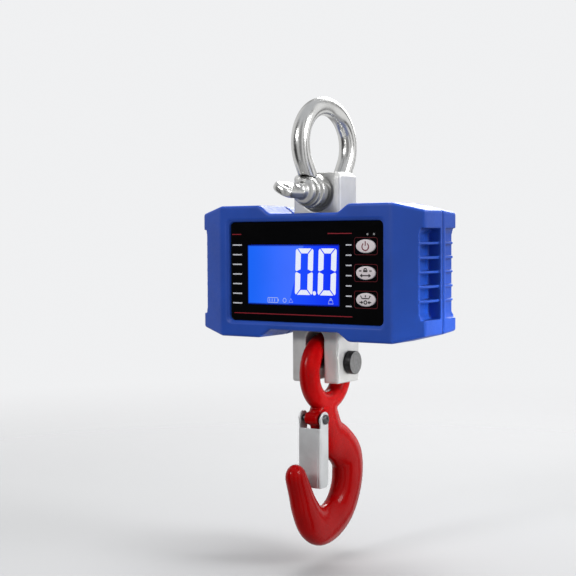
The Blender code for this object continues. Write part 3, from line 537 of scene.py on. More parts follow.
def steel(name, colour, roughness, streak=(1.0, 1.0, 1.0), grain=1800.0, depth=0.00001, metallic=1.0,
          hollow_shade=0.0, edge_wear_and_highlight=1.15):
    """Metal with drawn or tumbled micro-scratches, uneven sheen, brighter edges and, where asked for, painted
    shade in its hollows.
    """
    n = Nodes(name)
    clouds = n.noise(60.0, 4.0, 0.6)
    base = n.mix(n.ramp(clouds, 0.3, 0.7), shade(colour, 0.92), shade(colour, 1.05))
    # Darker in hollows and near other parts, from an ambient occlusion mask: painted shade.
    if hollow_shade:
        hollows = n.ramp(n.corners(0.004), 0.15, 0.7, 1.0, 0.0)
        base = n.mix(n.math("MULTIPLY", hollows, hollow_shade), base, shade(colour, 0.25))
    base = n.mix(n.math("MULTIPLY", n.edges(0.51, 0.56), 0.6), base, shade(colour, edge_wear_and_highlight))
    lines = n.noise(grain, 3.0, 0.6, streak)
    rough = n.math("ADD", n.ramp(lines, 0.25, 0.75, -0.03, 0.04),
                   n.ramp(clouds, 0.3, 0.7, roughness - 0.02, roughness + 0.05))
    return n.finish(Base_Color=base, Roughness=rough, Metallic=metallic, Normal=n.bump(lines, depth))


def red_enamel():
    """Gloss paint over a forging: orange peel, a lumpy skin below it, painted shade in its hollows and thin
    edges.
    """
    colour = (0.37, 0.001, 0.0015)
    n = Nodes("red_enamel")
    base = n.mix(n.ramp(n.noise(35.0, 3.0), 0.3, 0.7), shade(colour, 0.85), shade(colour, 1.08))
    # Darker in hollows and near other parts, from an ambient occlusion mask: painted shade.
    base = n.mix(n.ramp(n.corners(0.008), 0.25, 0.9, 0.75, 0.0), base, shade(colour, 0.25))
    base = n.mix(n.math("MULTIPLY", n.edges(0.51, 0.56), 0.4), base, (0.62, 0.012, 0.008))
    lumps = n.bump(n.noise(75.0, 1.5, 0.4), 0.0008, 0.7)
    peel = n.bump(n.noise(900.0, 1.0), 0.00002, 1.0, lumps)
    rough = n.ramp(n.noise(240.0, 4.0, 0.6), 0.3, 0.7, 0.2, 0.3)
    return n.finish(Base_Color=base, Roughness=rough, Specular_IOR_Level=0.05, Coat_Weight=0.28, Coat_IOR=1.3,
                    Coat_Roughness=0.07, Normal=peel, Coat_Normal=peel)


def black_oxide():
    """Black oxide steel whose flat ends are machined bare."""
    n = Nodes("black_oxide")
    geometry = n.tree.nodes.new("ShaderNodeNewGeometry")
    facing = n.math("ABSOLUTE", n.axis("X", geometry.outputs["Normal"]))
    bare = n.ramp(facing, 0.93, 0.99)
    mottle = n.noise(500.0, 4.0, 0.6)
    dark = n.mix(n.ramp(mottle, 0.3, 0.7), (0.012, 0.012, 0.013), (0.03, 0.03, 0.032))
    light = n.mix(n.ramp(mottle, 0.3, 0.7), (0.2, 0.2, 0.2), (0.28, 0.28, 0.28))
    turn_marks = n.noise(2500.0, 2.0, 0.5, (1.0, 0.2, 1.0))
    return n.finish(Base_Color=n.mix(bare, dark, light), Metallic=0.7,
                    Roughness=n.ramp(turn_marks, 0.3, 0.7, 0.32, 0.45), Normal=n.bump(turn_marks, 0.00001))


def fascia_black():
    """Glossy printed sheet, with faint wiped smears."""
    n = Nodes("fascia_black")
    smears = n.noise(38.0, 5.0, 0.65, (1.0, 1.0, 2.5), 1.2)
    base = n.mix(smears, (0.0012, 0.0012, 0.0016), (0.003, 0.003, 0.0035))
    return n.finish(Base_Color=base, Roughness=n.ramp(smears, 0.35, 0.7, 0.05, 0.14), Specular_IOR_Level=0.3,
                    Normal=n.bump(n.noise(900.0, 2.0), 0.000002))


def lit_display():
    """The pane, lit from behind: bright left of a slanted edge, a painted reflection of a window; deeper
    right of it; dim at its rim, a painted shadow.
    """
    x0, x1, z0, z1 = WINDOW
    n = Nodes("lit_display")
    x = n.axis("X")
    z = n.math("SUBTRACT", n.axis("Z"), MID.z)
    edge, blur = -6.2 * MM, 0.4 * MM
    slant = n.math("ADD", x, n.math("MULTIPLY", z, -0.31))
    right = n.ramp(slant, edge - blur, edge + blur)
    across = n.ramp(x, x0 * MM, x1 * MM, smooth=False)
    # Left of the slanted edge the pane is brighter: a painted reflection of a window.
    reflected_window_tone = n.mix(n.ramp(x, x0 * MM, -5 * MM), (0.010, 0.13, 0.93), (0.052, 0.155, 1.0))
    right_tone = n.mix(n.ramp(across, 0.5, 1.0), (0.010, 0.070, 0.97), (0.004, 0.028, 0.90))
    tone = n.mix(right, reflected_window_tone, right_tone)
    rim_x = n.math("MINIMUM", n.math("SUBTRACT", x, x0 * MM), n.math("SUBTRACT", x1 * MM, x))
    rim_z = n.math("MINIMUM", n.math("SUBTRACT", z, z0 * MM), n.math("SUBTRACT", z1 * MM, z))
    # Darker within about a millimetre of the rim: a painted shadow.
    rim = n.ramp(n.math("MINIMUM", rim_x, rim_z), 0.2 * MM, 1.4 * MM)
    tone = n.mix(rim, (0.002, 0.008, 0.18), tone)
    haze = n.ramp(n.noise(30.0, 2.0), 0.3, 0.7, 0.97, 1.03)
    rough = n.ramp(n.noise(60.0, 4.0), 0.3, 0.7, 0.05, 0.1)
    return n.finish(Base_Color=(0.002, 0.006, 0.03), Roughness=rough, Emission_Color=tone,
                    Emission_Strength=haze)


def printing(name, colour, glow=0.0, roughness=0.45):
    """Screen-printed ink, with slightly uneven cover. glow makes it emit: backlight through the display's
    segments and marks, and a faint painted glow on the fascia's inks.
    """
    n = Nodes(name)
    cover = n.noise(1500.0, 3.0, 0.6)
    tone = n.mix(n.ramp(cover, 0.3, 0.7), shade(colour, 0.9), shade(colour, 1.05))
    body = (0.01, 0.012, 0.02) if glow > 0.5 else tone
    return n.finish(Base_Color=body, Roughness=n.ramp(cover, 0.3, 0.7, roughness - 0.05, roughness + 0.08),
                    Specular_IOR_Level=0.2, Emission_Color=tone, Emission_Strength=glow,
                    Normal=n.bump(cover, 0.000003))


def make_materials():
    return {
        "blue": plastic("blue_moulding", (0.011, 0.065, 0.40), 0.44, sheen=0.35, mirrored=(0.10, 0.11, 0.14)),
        "key": plastic("key_cap", (0.74, 0.68, 0.70), 0.5, 1800.0, 0.000012, 1.1),
        "dark": plastic("dark_moulding", (0.022, 0.022, 0.025), 0.5),
        "pale": plastic("nylon", (0.72, 0.69, 0.6), 0.5, 1200.0),
        "rubber": plastic("soft_rubber", (0.016, 0.016, 0.017), 0.75, 900.0, 0.00004, 1.8),
        "board": plastic("solder_mask", (0.01, 0.12, 0.045), 0.32, 700.0, 0.00002, 1.2, 0.3),
        "wrap": plastic("battery_sleeve", (0.05, 0.06, 0.08), 0.3, 400.0, 0.00001, 1.3, 0.4),
        "guide": plastic("light_guide", (0.15, 0.3, 0.9), 0.35, 600.0, 0.00001, 1.1),
        "lens": plastic("led_lens", (0.33, 0.33, 0.33), 0.2, 500.0, 0.000005, 1.1, 0.3),
        "cell": steel("satin_cell_steel", (0.64, 0.64, 0.63), 0.45, (1.0, 1.0, 0.15), 1400.0, 0.00002,
                      0.5, 0.5, 1.12),
        "bright": steel("bright_forged_steel", (0.74, 0.74, 0.73), 0.20, grain=900.0, depth=0.000003,
                        hollow_shade=0.35, edge_wear_and_highlight=1.1),
        "spring": steel("spring_steel", (0.14, 0.14, 0.15), 0.3),
        "pin": steel("forged_pin_steel", (0.70, 0.70, 0.69), 0.30, grain=700.0, depth=0.000004, hollow_shade=0.4,
                     edge_wear_and_highlight=1.1),
        "zinc": steel("zinc_plate", (0.65, 0.66, 0.67), 0.44, (1.0, 1.0, 0.08), 1600.0, 0.00001, 0.45, 0.5,
                      1.45),
        "screw": steel("screw_steel", (0.5, 0.5, 0.5), 0.3, hollow_shade=0.5),
        "contact": steel("nickel_contact", (0.68, 0.66, 0.6), 0.28),
        "rivet": steel("rivet_steel", (0.12, 0.12, 0.125), 0.35, hollow_shade=0.4, edge_wear_and_highlight=2.2),
        "red": red_enamel(),
        "oxide": black_oxide(),
        "fascia": fascia_black(),
        "display": lit_display(),
        # The fascia's inks glow a little: painted light, since nothing lights them from behind.
        "white_ink": printing("white_ink", (0.55, 0.56, 0.60), 0.12),
        "red_ink": printing("red_ink", (0.24, 0.012, 0.022), 0.08),
        "dim_ink": printing("dim_red_ink", (0.085, 0.003, 0.007), 0.08),
        "symbol_ink": printing("symbol_ink", (0.045, 0.038, 0.042)),
        "power_ink": printing("power_ink", (0.20, 0.03, 0.05)),
        "digits": printing("display_segments", (0.80, 0.84, 1.0), 1.0, 0.12),
        "marks": printing("display_marks", (0.42, 0.52, 0.95), 0.9, 0.12),
    }


# ---------------------------------------------------------------- metal pieces

def make_load_cell(m):
    """A block, wider below its step, with a fork for the hook and a pocket on each side for a bow ear."""
    top = CELL_TOP
    shoulder = top - CELL_CHAMFER
    half = [(CELL_LOW_Y, CELL_BOTTOM), (CELL_LOW_Y, CELL_STEP_Z - 3), (CELL_UP_Y, CELL_STEP_Z),
            (CELL_UP_Y, shoulder), (CELL_UP_Y - CELL_CHAMFER, top)]
    outline = [(-y, z) for y, z in reversed(half)] + half
    beyond = 5
    cuts = []
    for side in (-1, 1):
        slope = [(side * (CELL_X - CELL_CHAMFER), top + 0.01), (side * (CELL_X + 1), top + 1),
                 (side * (CELL_X + 1), top - 4)]
        cuts.append(prism(slope, "y", -CELL_LOW_Y, CELL_LOW_Y))
    slot = [(FORK_X, CELL_BOTTOM - beyond)] + arc((0, FORK_TOP - FORK_X), FORK_X, 0, 180, 24)
    slot.append((-FORK_X, CELL_BOTTOM - beyond))
    cuts.append(prism(slot, "y", -CELL_LOW_Y - beyond, CELL_LOW_Y + beyond))
    pocket = arc((0, PIN_Z), POCKET_R, 180, 360, 32) + [(POCKET_R, top + beyond), (-POCKET_R, top + beyond)]
    for side in (-1, 1):
        cuts.append(prism(pocket, "y", side * WEB_Y, side * (CELL_UP_Y + beyond)))
    cuts.append(rod(PIN_R + CLEARANCE, -2 * CELL_LOW_Y, 2 * CELL_LOW_Y, "y", (0, PIN_Z)))
    cuts.append(rod(HOOK_PIN_R + CLEARANCE, -CELL_X - beyond, CELL_X + beyond, "x", (0, HOOK_PIN_Z)))
    cuts.append(rod(GAUGE_BORE_R, 8.0, CELL_X + beyond, "x", (0, 0)))
    softened("load_cell_block", prism(outline, "x", -CELL_X, CELL_X), m["cell"], "scale_body",
             ("load_cell",), (), cuts, 0.5, 3, bevel=1.5)


def make_shackle(m):
    """A round bow whose legs run straight from two ears until they touch its curve."""
    ear_mid = sum(EAR_Y) / 2 / BOW_STRETCH
    rise = BOW_Z - PIN_Z
    lean = math.atan2(rise, -ear_mid) - math.asin(BOW_R / math.hypot(ear_mid, rise))
    tangent = lean - math.pi / 2
    path = [Vector((0, ear_mid + math.cos(lean) * d, PIN_Z + math.sin(lean) * d)) for d in (2, 6, 10, 14, 18)]
    for step in range(65):
        angle = tangent + (math.pi - 2 * tangent) * step / 64
        path.append(Vector((0, BOW_R * math.cos(angle), BOW_Z + BOW_R * math.sin(angle))))
    path += [Vector((0, -p.y, p.z)) for p in reversed(path[:5])]
    path = [Vector((0, p.y * BOW_STRETCH, p.z)) for p in path]
    bow = loft(sweep(path, [(WIRE_R, WIRE_R)] * len(path), 40))
    low, high = EAR_Y
    beyond = 9
    joins = []
    cuts = [rod(PIN_R + CLEARANCE, -high - beyond, high + beyond, "y", (0, PIN_Z))]
    for side in (-1, 1):
        profile = soft_profile([(low, 4), (low, EAR_R), (high - 1.0, EAR_R), (high - 1.0, EAR_R - 1.5),
                                (high, EAR_R - 1.9), (high, 4)], 0.9)
        joins.append(turned([(side * y, r) for y, r in profile], "y", (0, PIN_Z), 96))
        ends = sorted((side * (low - 8), side * low))
        cuts.append(rod(EAR_R + 6, *ends, "y", (0, PIN_Z)))
        washer_path = [(side * high, WASHER_R + 0.4), (side * (high + beyond), WASHER_R + 0.6)]
        cuts.append(turned(washer_path, "y", (0, PIN_Z)))
    softened("shackle_forging", bow, m["bright"], "shackle", ("shackle_bow",), joins, cuts,
             0.42, 6)


def make_shackle_pin(m):
    """A screw pin with a collar, a neck and a flat paddle, and the washer under its collar."""
    back, collar, front = EAR_Y[1] + 1.8, -COLLAR_Y[0], -COLLAR_Y[1]
    neck = -36.0
    profile = soft_profile([(back, 0.5), (back, PIN_R - 0.9), (back - 0.9, PIN_R), (collar, PIN_R),
                            (collar, COLLAR_R), (front + 1.6, COLLAR_R), (front + 0.2, COLLAR_R - 1.4),
                            (front - 0.8, 6.0), (neck + 1.5, 5.6), (neck, 4.4), (neck, 0.5)], 0.5)
    mid = (front - PADDLE_TIP_Y) / 2 - 1.5
    length = PADDLE_TIP_Y + front - 3
    rings = []
    for z, shrink in ((-2.7, 2.4), (-2.4, 1.1), (-1.8, 0.3), (-1.0, 0.0), (1.0, 0.0), (1.8, 0.3), (2.4, 1.1),
                      (2.7, 2.4)):
        outline = rounded(PADDLE_WIDTH - shrink, length - shrink, 6.2, (0, mid), 12)
        rings.append([(x, y, z) for x, y in outline])
    paddle = loft(rings)
    eye = rod(PADDLE_EYE_R, -8, 8, "z", (0, mid - 4.0))
    roll = Matrix.Translation((0, 0, PIN_Z)) @ Matrix.Rotation(math.radians(PADDLE_ROLL), 4, "Y")
    for bm in (paddle, eye):
        bmesh.ops.transform(bm, matrix=roll, verts=bm.verts)
    softened("screw_pin", turned(profile, "y", (0, PIN_Z)), m["pin"], "screw_pin",
             ("shackle_pin",), (paddle,), (eye,), 0.35, 12)
    bore = PIN_R + CLEARANCE
    section = soft_profile([(-WASHER_Y[1], bore), (-WASHER_Y[1], WASHER_R), (-WASHER_Y[0], WASHER_R),
                            (-WASHER_Y[0], bore)], 0.6)
    rings = []
    for along, radius in section:
        rings.append([(a, along, PIN_Z + b) for a, b in ellipse(2 * radius, 2 * radius, steps=96)])
    shaped("washer", closed_loft(rings), m["pin"], "pin_washer", ("shackle_washer",), 50)


def make_hook(m):
    """A tapering sweep with a round nose, a ring for its eye and a lug for the latch."""
    stations = smooth_path([Vector(s) for s in HOOK_SECTIONS], 6)
    path = [Vector((0, s[0], s[1])) for s in stations]
    radii = [(s[2], s[3]) for s in stations]
    end = path[-1]
    along = (Vector((0, *HOOK_TIP)) - end).normalized()
    reach = (Vector((0, *HOOK_TIP)) - end).length
    wide, thick = radii[-1]
    for angle in (15, 30, 45, 58, 70, 80):
        part = math.radians(angle)
        path.append(end + along * reach * math.sin(part))
        radii.append((wide * math.cos(part), thick * math.cos(part)))
    body = loft(sweep(path, radii, 48))
    eye_rings = []
    for step in range(72):
        angle = 2 * math.pi * step / 72
        out = Vector((0, math.cos(angle), math.sin(angle)))
        centre = Vector((0, 0, EYE_Z)) + out * EYE_R
        turns = [2 * math.pi * k / 36 for k in range(36)]
        eye_rings.append([centre + out * EYE_WIRE_R * math.cos(t) + X_AXIS * EYE_WIRE_X * math.sin(t)
                          for t in turns])
    lug = soft_profile([(-5.4, 0.5), (-5.4, LUG_R), (5.4, LUG_R), (5.4, 0.5)], 0.8)
    joins = (closed_loft(eye_rings), turned(lug, "x", RIVET))
    cuts = (rod(RIVET_R + CLEARANCE, -14, 14, "x", RIVET, 32),)
    softened("forged_hook", body, m["red"], "hook", ("hook_body",), joins, cuts, 0.6, 10)


def make_hook_pin(m):
    """A headed pin with a groove for its circlip."""
    tip = -CELL_X - 4.2
    groove = (-CELL_X - 2.2, -CELL_X - 0.6)
    groove_r = HOOK_PIN_R - 0.9
    head = CELL_X + CLEARANCE
    end = head + HOOK_PIN_HEAD_T
    profile = soft_profile([(tip, 0.5), (tip, HOOK_PIN_R), (groove[0], HOOK_PIN_R), (groove[0], groove_r),
                            (groove[1], groove_r), (groove[1], HOOK_PIN_R), (head, HOOK_PIN_R),
                            (head, HOOK_PIN_HEAD_R), (end, HOOK_PIN_HEAD_R), (end, 0.5)], 0.5)
    shaped("hook_pin_black", turned(profile, "x", (0, HOOK_PIN_Z), 96), m["oxide"], "hook_pin",
           ("hook_pin",), 50)


def make_latch(m):
    """A pressed channel with two round ears, pinned to the hook by a rivet."""
    front, back = LATCH_FRONT_Y, LATCH_BACK_Y
    bend = LATCH_BEND
    top = RIVET[1] + LATCH_EAR_R
    outside = [(-LATCH_X, back)] + arc((-LATCH_X + bend, front + bend), bend, 180, 270, 6)
    outside += arc((LATCH_X - bend, front + bend), bend, 270, 360, 6) + [(LATCH_X, back)]
    inner = bend - LATCH_T
    inside = [(LATCH_X - LATCH_T, back)] + arc((LATCH_X - bend, front + bend), inner, 360, 270, 6)
    inside += arc((-LATCH_X + bend, front + bend), inner, 270, 180, 6) + [(-LATCH_X + LATCH_T, back)]
    channel = prism(outside + inside, "z", LATCH_BOTTOM, top)
    above = [(front - 3, LATCH_TOP), (front + 1.2, LATCH_TOP + 0.6)] + arc(RIVET, LATCH_EAR_R, 190, -25, 24)
    above += [(back + 4, LATCH_TOP + 5), (back + 4, top + 4), (front - 3, top + 4)]
    low_edge = [(front - 3, LATCH_BOTTOM - 3), (front - 3, LATCH_BOTTOM), (back - 2.5, LATCH_BOTTOM)]
    low_edge += [(back, LATCH_BOTTOM + 2.5), (back + 3, LATCH_BOTTOM + 2.5), (back + 3, LATCH_BOTTOM - 3)]
    groove = [(6.6, front - 1), (7.5, front - 1), (7.5, front + 0.45), (6.6, front + 0.45)]
    cuts = (prism(above, "x", -LATCH_X - 4, LATCH_X + 4), prism(low_edge, "x", -LATCH_X - 4, LATCH_X + 4),
            rod(RIVET_R + CLEARANCE, -14, 14, "x", RIVET, 32),
            prism(groove, "z", LATCH_BOTTOM - 2, LATCH_TOP - 1))
    softened("latch_pressing", channel, m["zinc"], "latch", ("safety_latch",), (), cuts,
             0.26, 3)
    head = LATCH_X + CLEARANCE
    profile = [(-head - 1.2, 0.6), (-head - 1.4, 2.4), (-head - 1.0, 3.2), (-head, 3.4), (-head, RIVET_R),
               (head, RIVET_R), (head, 3.4), (head + 1.0, 3.2), (head + 1.4, 2.4), (head + 1.35, 1.6),
               (head + 0.7, 1.3), (head + 0.7, 0.4)]
    shaped("latch_rivet_set", turned(soft_profile(profile, 0.3), "x", RIVET, 48), m["rivet"], "hook",
           ("latch_rivet",), 50)


def wire(path, radius):
    """A round wire along a path in space."""
    rings = []
    for i, point in enumerate(path):
        along = (path[min(i + 1, len(path) - 1)] - path[max(i - 1, 0)]).normalized()
        one = along.cross(X_AXIS).normalized()
        two = along.cross(one)
        turns = [math.pi * k / 5 for k in range(10)]
        rings.append([point + one * radius * math.cos(a) + two * radius * math.sin(a) for a in turns])
    return loft(rings)


def make_latch_spring(m):
    """The coil sits on the hook. Its long leg follows the latch, as the real wire bends with it."""
    steps = 48
    coil = []
    for step in range(steps + 1):
        angle = 3 * math.pi * step / steps
        coil.append(Vector((6.0 + 1.4 * step / steps, RIVET[0] + SPRING_R * math.cos(angle),
                            RIVET[1] + SPRING_R * math.sin(angle))))
    leg = [coil[-1].copy(), coil[-1] + Vector((0, -0.6, -4.0)), coil[-1] + Vector((0, -1.2, -8.0))]
    coil.insert(0, coil[0] + Vector((0, 0, -5.0)))
    shaped("latch_coil", wire(coil, 0.4), m["spring"], "hook", ("latch_spring",), 60)
    shaped("latch_coil_leg", wire(leg, 0.39), m["spring"], "latch", (), 60)


# ---------------------------------------------------------------- fascia pieces

def make_fascia(m):
    """The printed sheet, with openings for the window, the keys and the lamps, and the display's pane."""
    sheet = prism(rounded(*PANEL_SIZE, 3.2), "y", PANEL_Y, PANEL_Y + PANEL_T)
    x0, x1, z0, z1 = WINDOW
    centre = ((x0 + x1) / 2, (z0 + z1) / 2)
    cuts = [prism(rounded(x1 - x0, z1 - z0, 1.0, centre, 4), "y", PANEL_Y - 2, PANEL_Y + 4)]
    for z in KEY_ZS.values():
        oval = ellipse(KEY_SIZE[0] + 0.7, KEY_SIZE[1] + 0.7, (KEY_X, z))
        cuts.append(prism(oval, "y", PANEL_Y - 2, PANEL_Y + 4))
    for x in LED_XS:
        cuts.append(rod(0.9, PANEL_Y - 2, PANEL_Y + 4, "y", (x, LED_Z), 24))
    shaped("fascia_sheet", sheet, m["fascia"], "scale_body", ("panel_overlay",), 30, (), cuts)
    pane = []
    for y, shrink in ((DISPLAY_Y, 0.9), (DISPLAY_Y + 0.15, 0.6), (-23.4, 0.6)):
        outline = rounded(x1 - x0 - shrink, z1 - z0 - shrink, 0.8, centre, 4)
        pane.append([(x, y, z) for x, z in outline])
    shaped("display_pane", loft(pane), m["display"], "scale_body", ("lcd_glass",), 30)


def make_keys(m):
    """Oval caps with flat tops and round shoulders."""
    # Share of the full size, and depth below the top
    steps = ((0.02, 0.02), (0.35, 0.03), (0.6, 0.05), (0.78, 0.09), (0.88, 0.16), (0.95, 0.3),
             (0.985, 0.5), (1.0, 0.8), (1.0, 4.3))
    for key, z in KEY_ZS.items():
        rings = []
        for share, drop in steps:
            outline = ellipse(KEY_SIZE[0] * share, KEY_SIZE[1] * share, (KEY_X, z))
            rings.append([(x, KEY_TOP_Y + drop, h) for x, h in outline])
        shaped(f"{key}_key_cap", loft(rings), m["key"], f"{key}_button", (f"{key}_key",), 50)


def add_ribbons(name, lines, width, finish, closed=False):
    """Lines printed on the fascia."""
    parts = [ribbon(path, width, PANEL_Y - PRINT_T, PANEL_Y + 0.2, closed) for path in lines]
    shaped(name, merged(parts), finish, "scale_body", smooth=30)


def make_printing(m):
    """Scale ticks on both sides of the window, the red lines and a frame round each key."""
    ticks = []
    for step in range(TICKS):
        z = TICK_ZS[0] + (TICK_ZS[1] - TICK_ZS[0]) * step / (TICKS - 1)
        for start, end in TICK_XS:
            ticks.append([(start, z), (end, z)])
    add_ribbons("scale_ticks", ticks, 0.85, m["white_ink"])
    reds = [[(-59.6, 25.4), (-51.9, 25.4)], [(18.3, 25.6), (36.8, 25.6)], [(-58.1, -28.7), (37.0, -28.7)]]
    add_ribbons("red_lines", reds, 0.6, m["red_ink"])
    frames = [rounded(17.2, 11.1, 1.6, (KEY_X, z), 6) for z in KEY_ZS.values()]
    add_ribbons("key_outlines", frames, 0.4, m["dim_ink"], closed=True)


def strokes(name, key, paths, width, depth, finish):
    """A symbol printed on a key, drawn from the key's middle."""
    parts = []
    for path in paths:
        placed = [(KEY_X + x, KEY_ZS[key] + z) for x, z in path]
        parts.append(ribbon(placed, width, KEY_TOP_Y - SYMBOL_T, KEY_TOP_Y + depth))
    shaped(name, merged(parts), finish, f"{key}_button", smooth=30)


def both_sides(paths):
    return paths + [[(-x, z) for x, z in path] for path in paths]


def key_symbols(m):
    """A power sign, a lock over a double arrow, and a pan over a nought between two arrows."""
    power = [arc((0, -0.35), 2.45, 125, 415, 40), [(0, 0.3), (0, 3.2)]]
    strokes("power_symbol", "power", power, 0.75, 0.3, m["power_ink"])
    lock = [arc((0, 2.0), 0.95, 0, 180, 12), [(-1.6, 1.5), (1.6, 1.5)], [(-1.6, 0.95), (1.6, 0.95)]]
    arrow = [[(-3.6, -1.7), (3.6, -1.7)]]
    ends = both_sides([[(2.9, 1.3), (4.7, 1.3)], [(2.4, -0.75), (3.8, -1.7), (2.4, -2.65)]])
    strokes("hold_symbol", "hold", lock + arrow + ends, 0.72, 0.4, m["symbol_ink"])
    pan = [[(-3.6, 2.6), (-2.6, 0.8), (2.6, 0.8), (3.6, 2.6)], [(0, 3.0), (0, 1.6)]]
    nought = [arc((0, -1.7), 1.05, 0, 360, 20)]
    arrows = both_sides([[(4.4, -1.7), (2.0, -1.7)], [(3.0, -0.9), (2.0, -1.7), (3.0, -2.5)]])
    strokes("zero_symbol", "zero", pan + nought + arrows, 0.72, 0.4, m["symbol_ink"])


def digit_outlines():
    """The six lit segments of a nought, 14 wide and 31 high, from its lower left corner."""
    wide, high, upright, bar, gap = 14.0, 31.0, 4.1, 3.3, 0.55
    mid = high / 2
    top = [(1.2 + gap, high), (wide - 1.2 - gap, high), (wide - upright - gap, high - bar),
           (upright + gap, high - bar)]
    upper = [(0.0, high - 1.6), (0.35, high - 0.7), (1.0, high - 0.25), (upright, high - bar - gap),
             (upright, mid + 1.6), (1.0, mid + gap * 0.6), (0.3, mid + 0.7), (0.0, mid + 1.4)]
    made = [top, upper, [(wide - x, z) for x, z in upper]]
    return made + [[(x, high - z) for x, z in outline] for outline in made]


def make_display(m):
    """Two noughts with a point between them, and a row of small marks below."""
    front, back = DISPLAY_Y - PRINT_T, DISPLAY_Y + 0.2
    lean = math.tan(math.radians(DIGIT_LEAN))
    plates = []
    for left in DIGIT_XS:
        for outline in digit_outlines():
            plates.append(prism([(left + x + z * lean, z + DIGIT_Z) for x, z in outline], "y", front, back))
    plates.append(prism(ellipse(2.6, 2.8, (7.7, DIGIT_Z + 1.3), 24), "y", front, back))
    shaped("display_digits", merged(plates), m["digits"], "scale_body", smooth=30)
    z = MARKS_Z
    battery = rounded(8.2, 3.2, 0.5, (-25.8, z), 3)
    circle = ellipse(2.6, 2.8, (-16.2, z), 24)
    triangle = [(-12.6, z - 1.3), (-9.6, z - 1.3), (-11.1, z + 1.4)]
    weight = [(18.6, z - 1.5), (22.4, z - 1.5), (21.7, z + 0.9), (19.3, z + 0.9)]
    parts = [ribbon(path, 0.42, front, back, True) for path in (battery, circle, triangle, weight)]
    charge = [[(x, z - 1.0), (x, z + 1.0)] for x in (-28.4, -26.4, -24.4)]
    terminal = [(-21.3, z - 0.7), (-21.3, z + 0.7)]
    handle = arc((20.5, z + 1.45), 0.6, 0, 360, 16)
    parts += [ribbon(path, 0.5, front, back) for path in charge + [terminal, handle]]
    shaped("display_marks", merged(parts), m["marks"], "scale_body", smooth=30)


# ---------------------------------------------------------------- whole object

def make_shells(m):
    softened_node("front_shell", "front_housing", m["blue"], "scale_body", 0.5, 4)
    softened_node("rear_shell", "rear_housing", m["blue"], "scale_body", 0.5, 4)
    softened_node("battery_door", "battery_cover", m["blue"], "battery_door", 0.4, 3)


def dress_nodes(m):
    """Gives each CAD node that stays its own procedural finish."""
    finishes = {
        "blue_plastic": "blue", "key_grey": "key", "dark_plastic": "dark", "pale_plastic": "pale",
        "black_rubber": "rubber", "circuit_board": "board", "battery_wrap": "wrap", "backlight": "guide",
        "led_lens": "lens", "cell_steel": "cell", "bright_steel": "bright", "spring_steel": "spring",
        "zinc_plate": "zinc", "screw_steel": "screw", "nickel_contact": "contact", "red_paint": "red",
        "black_steel": "oxide", "black_fascia": "fascia", "lcd_glass": "display",
    }
    slots = {row["node"]: row["material_slot"] for row in frame["record"]["subparts"]}
    for name, obj in frame["nodes"].items():
        finish = m[finishes[slots[name]]]
        for slot in obj.material_slots:
            slot.material = finish


def make_stage():
    """A pale floor that fades into the backdrop. It isn't seen in reflections."""
    bm = bmesh.new()
    bmesh.ops.create_circle(bm, cap_ends=True, segments=96, radius=FLOOR_R)
    mesh = bpy.data.meshes.new("floor")
    bm.to_mesh(mesh)
    bm.free()
    floor = bpy.data.objects.new("floor", mesh)
    floor.location = (0, 0, CAD_BOX[0].z - FLOOR_GAP)
    bpy.context.scene.collection.objects.link(floor)
    n = Nodes("studio_floor")
    x, y = n.axis("X"), n.axis("Y")
    away = n.math("SQRT", n.math("ADD", n.math("MULTIPLY", x, x), n.math("MULTIPLY", y, y)))
    tone = n.mix(n.ramp(n.noise(3.0, 2.0), 0.3, 0.7), (0.385, 0.387, 0.391), (0.395, 0.397, 0.401))
    fade = n.ramp(away, 0.05, 1.1, 1.0, 0.0)
    mesh.materials.append(n.finish(Base_Color=tone, Roughness=0.85, Alpha=fade))
    floor.visible_glossy = False
    floor.visible_diffuse = False


class WorldNodes:
    """Short names for building the world's nodes."""

    def __init__(self, world):
        world.use_nodes = True
        self.tree = world.node_tree
        self.tree.nodes.clear()

    def add(self, kind, **inputs):
        """A node with its inputs set or linked. first, second and third are inputs by their place."""
        made = self.tree.nodes.new(kind)
        places = {"first": 0, "second": 1, "third": 2}
        for name, value in inputs.items():
            target = made.inputs[places.get(name, name.replace("_", " "))]
            if isinstance(value, (int, float, tuple)):
                target.default_value = value
            else:
                self.tree.links.new(value, target)
        return made

    def ramp(self, source, low, high):
        """0 at low and 1 at high, with soft ends."""
        node = self.add("ShaderNodeMapRange", Value=source, From_Min=low, From_Max=high)
        node.interpolation_type = "SMOOTHSTEP"
        return node.outputs["Result"]


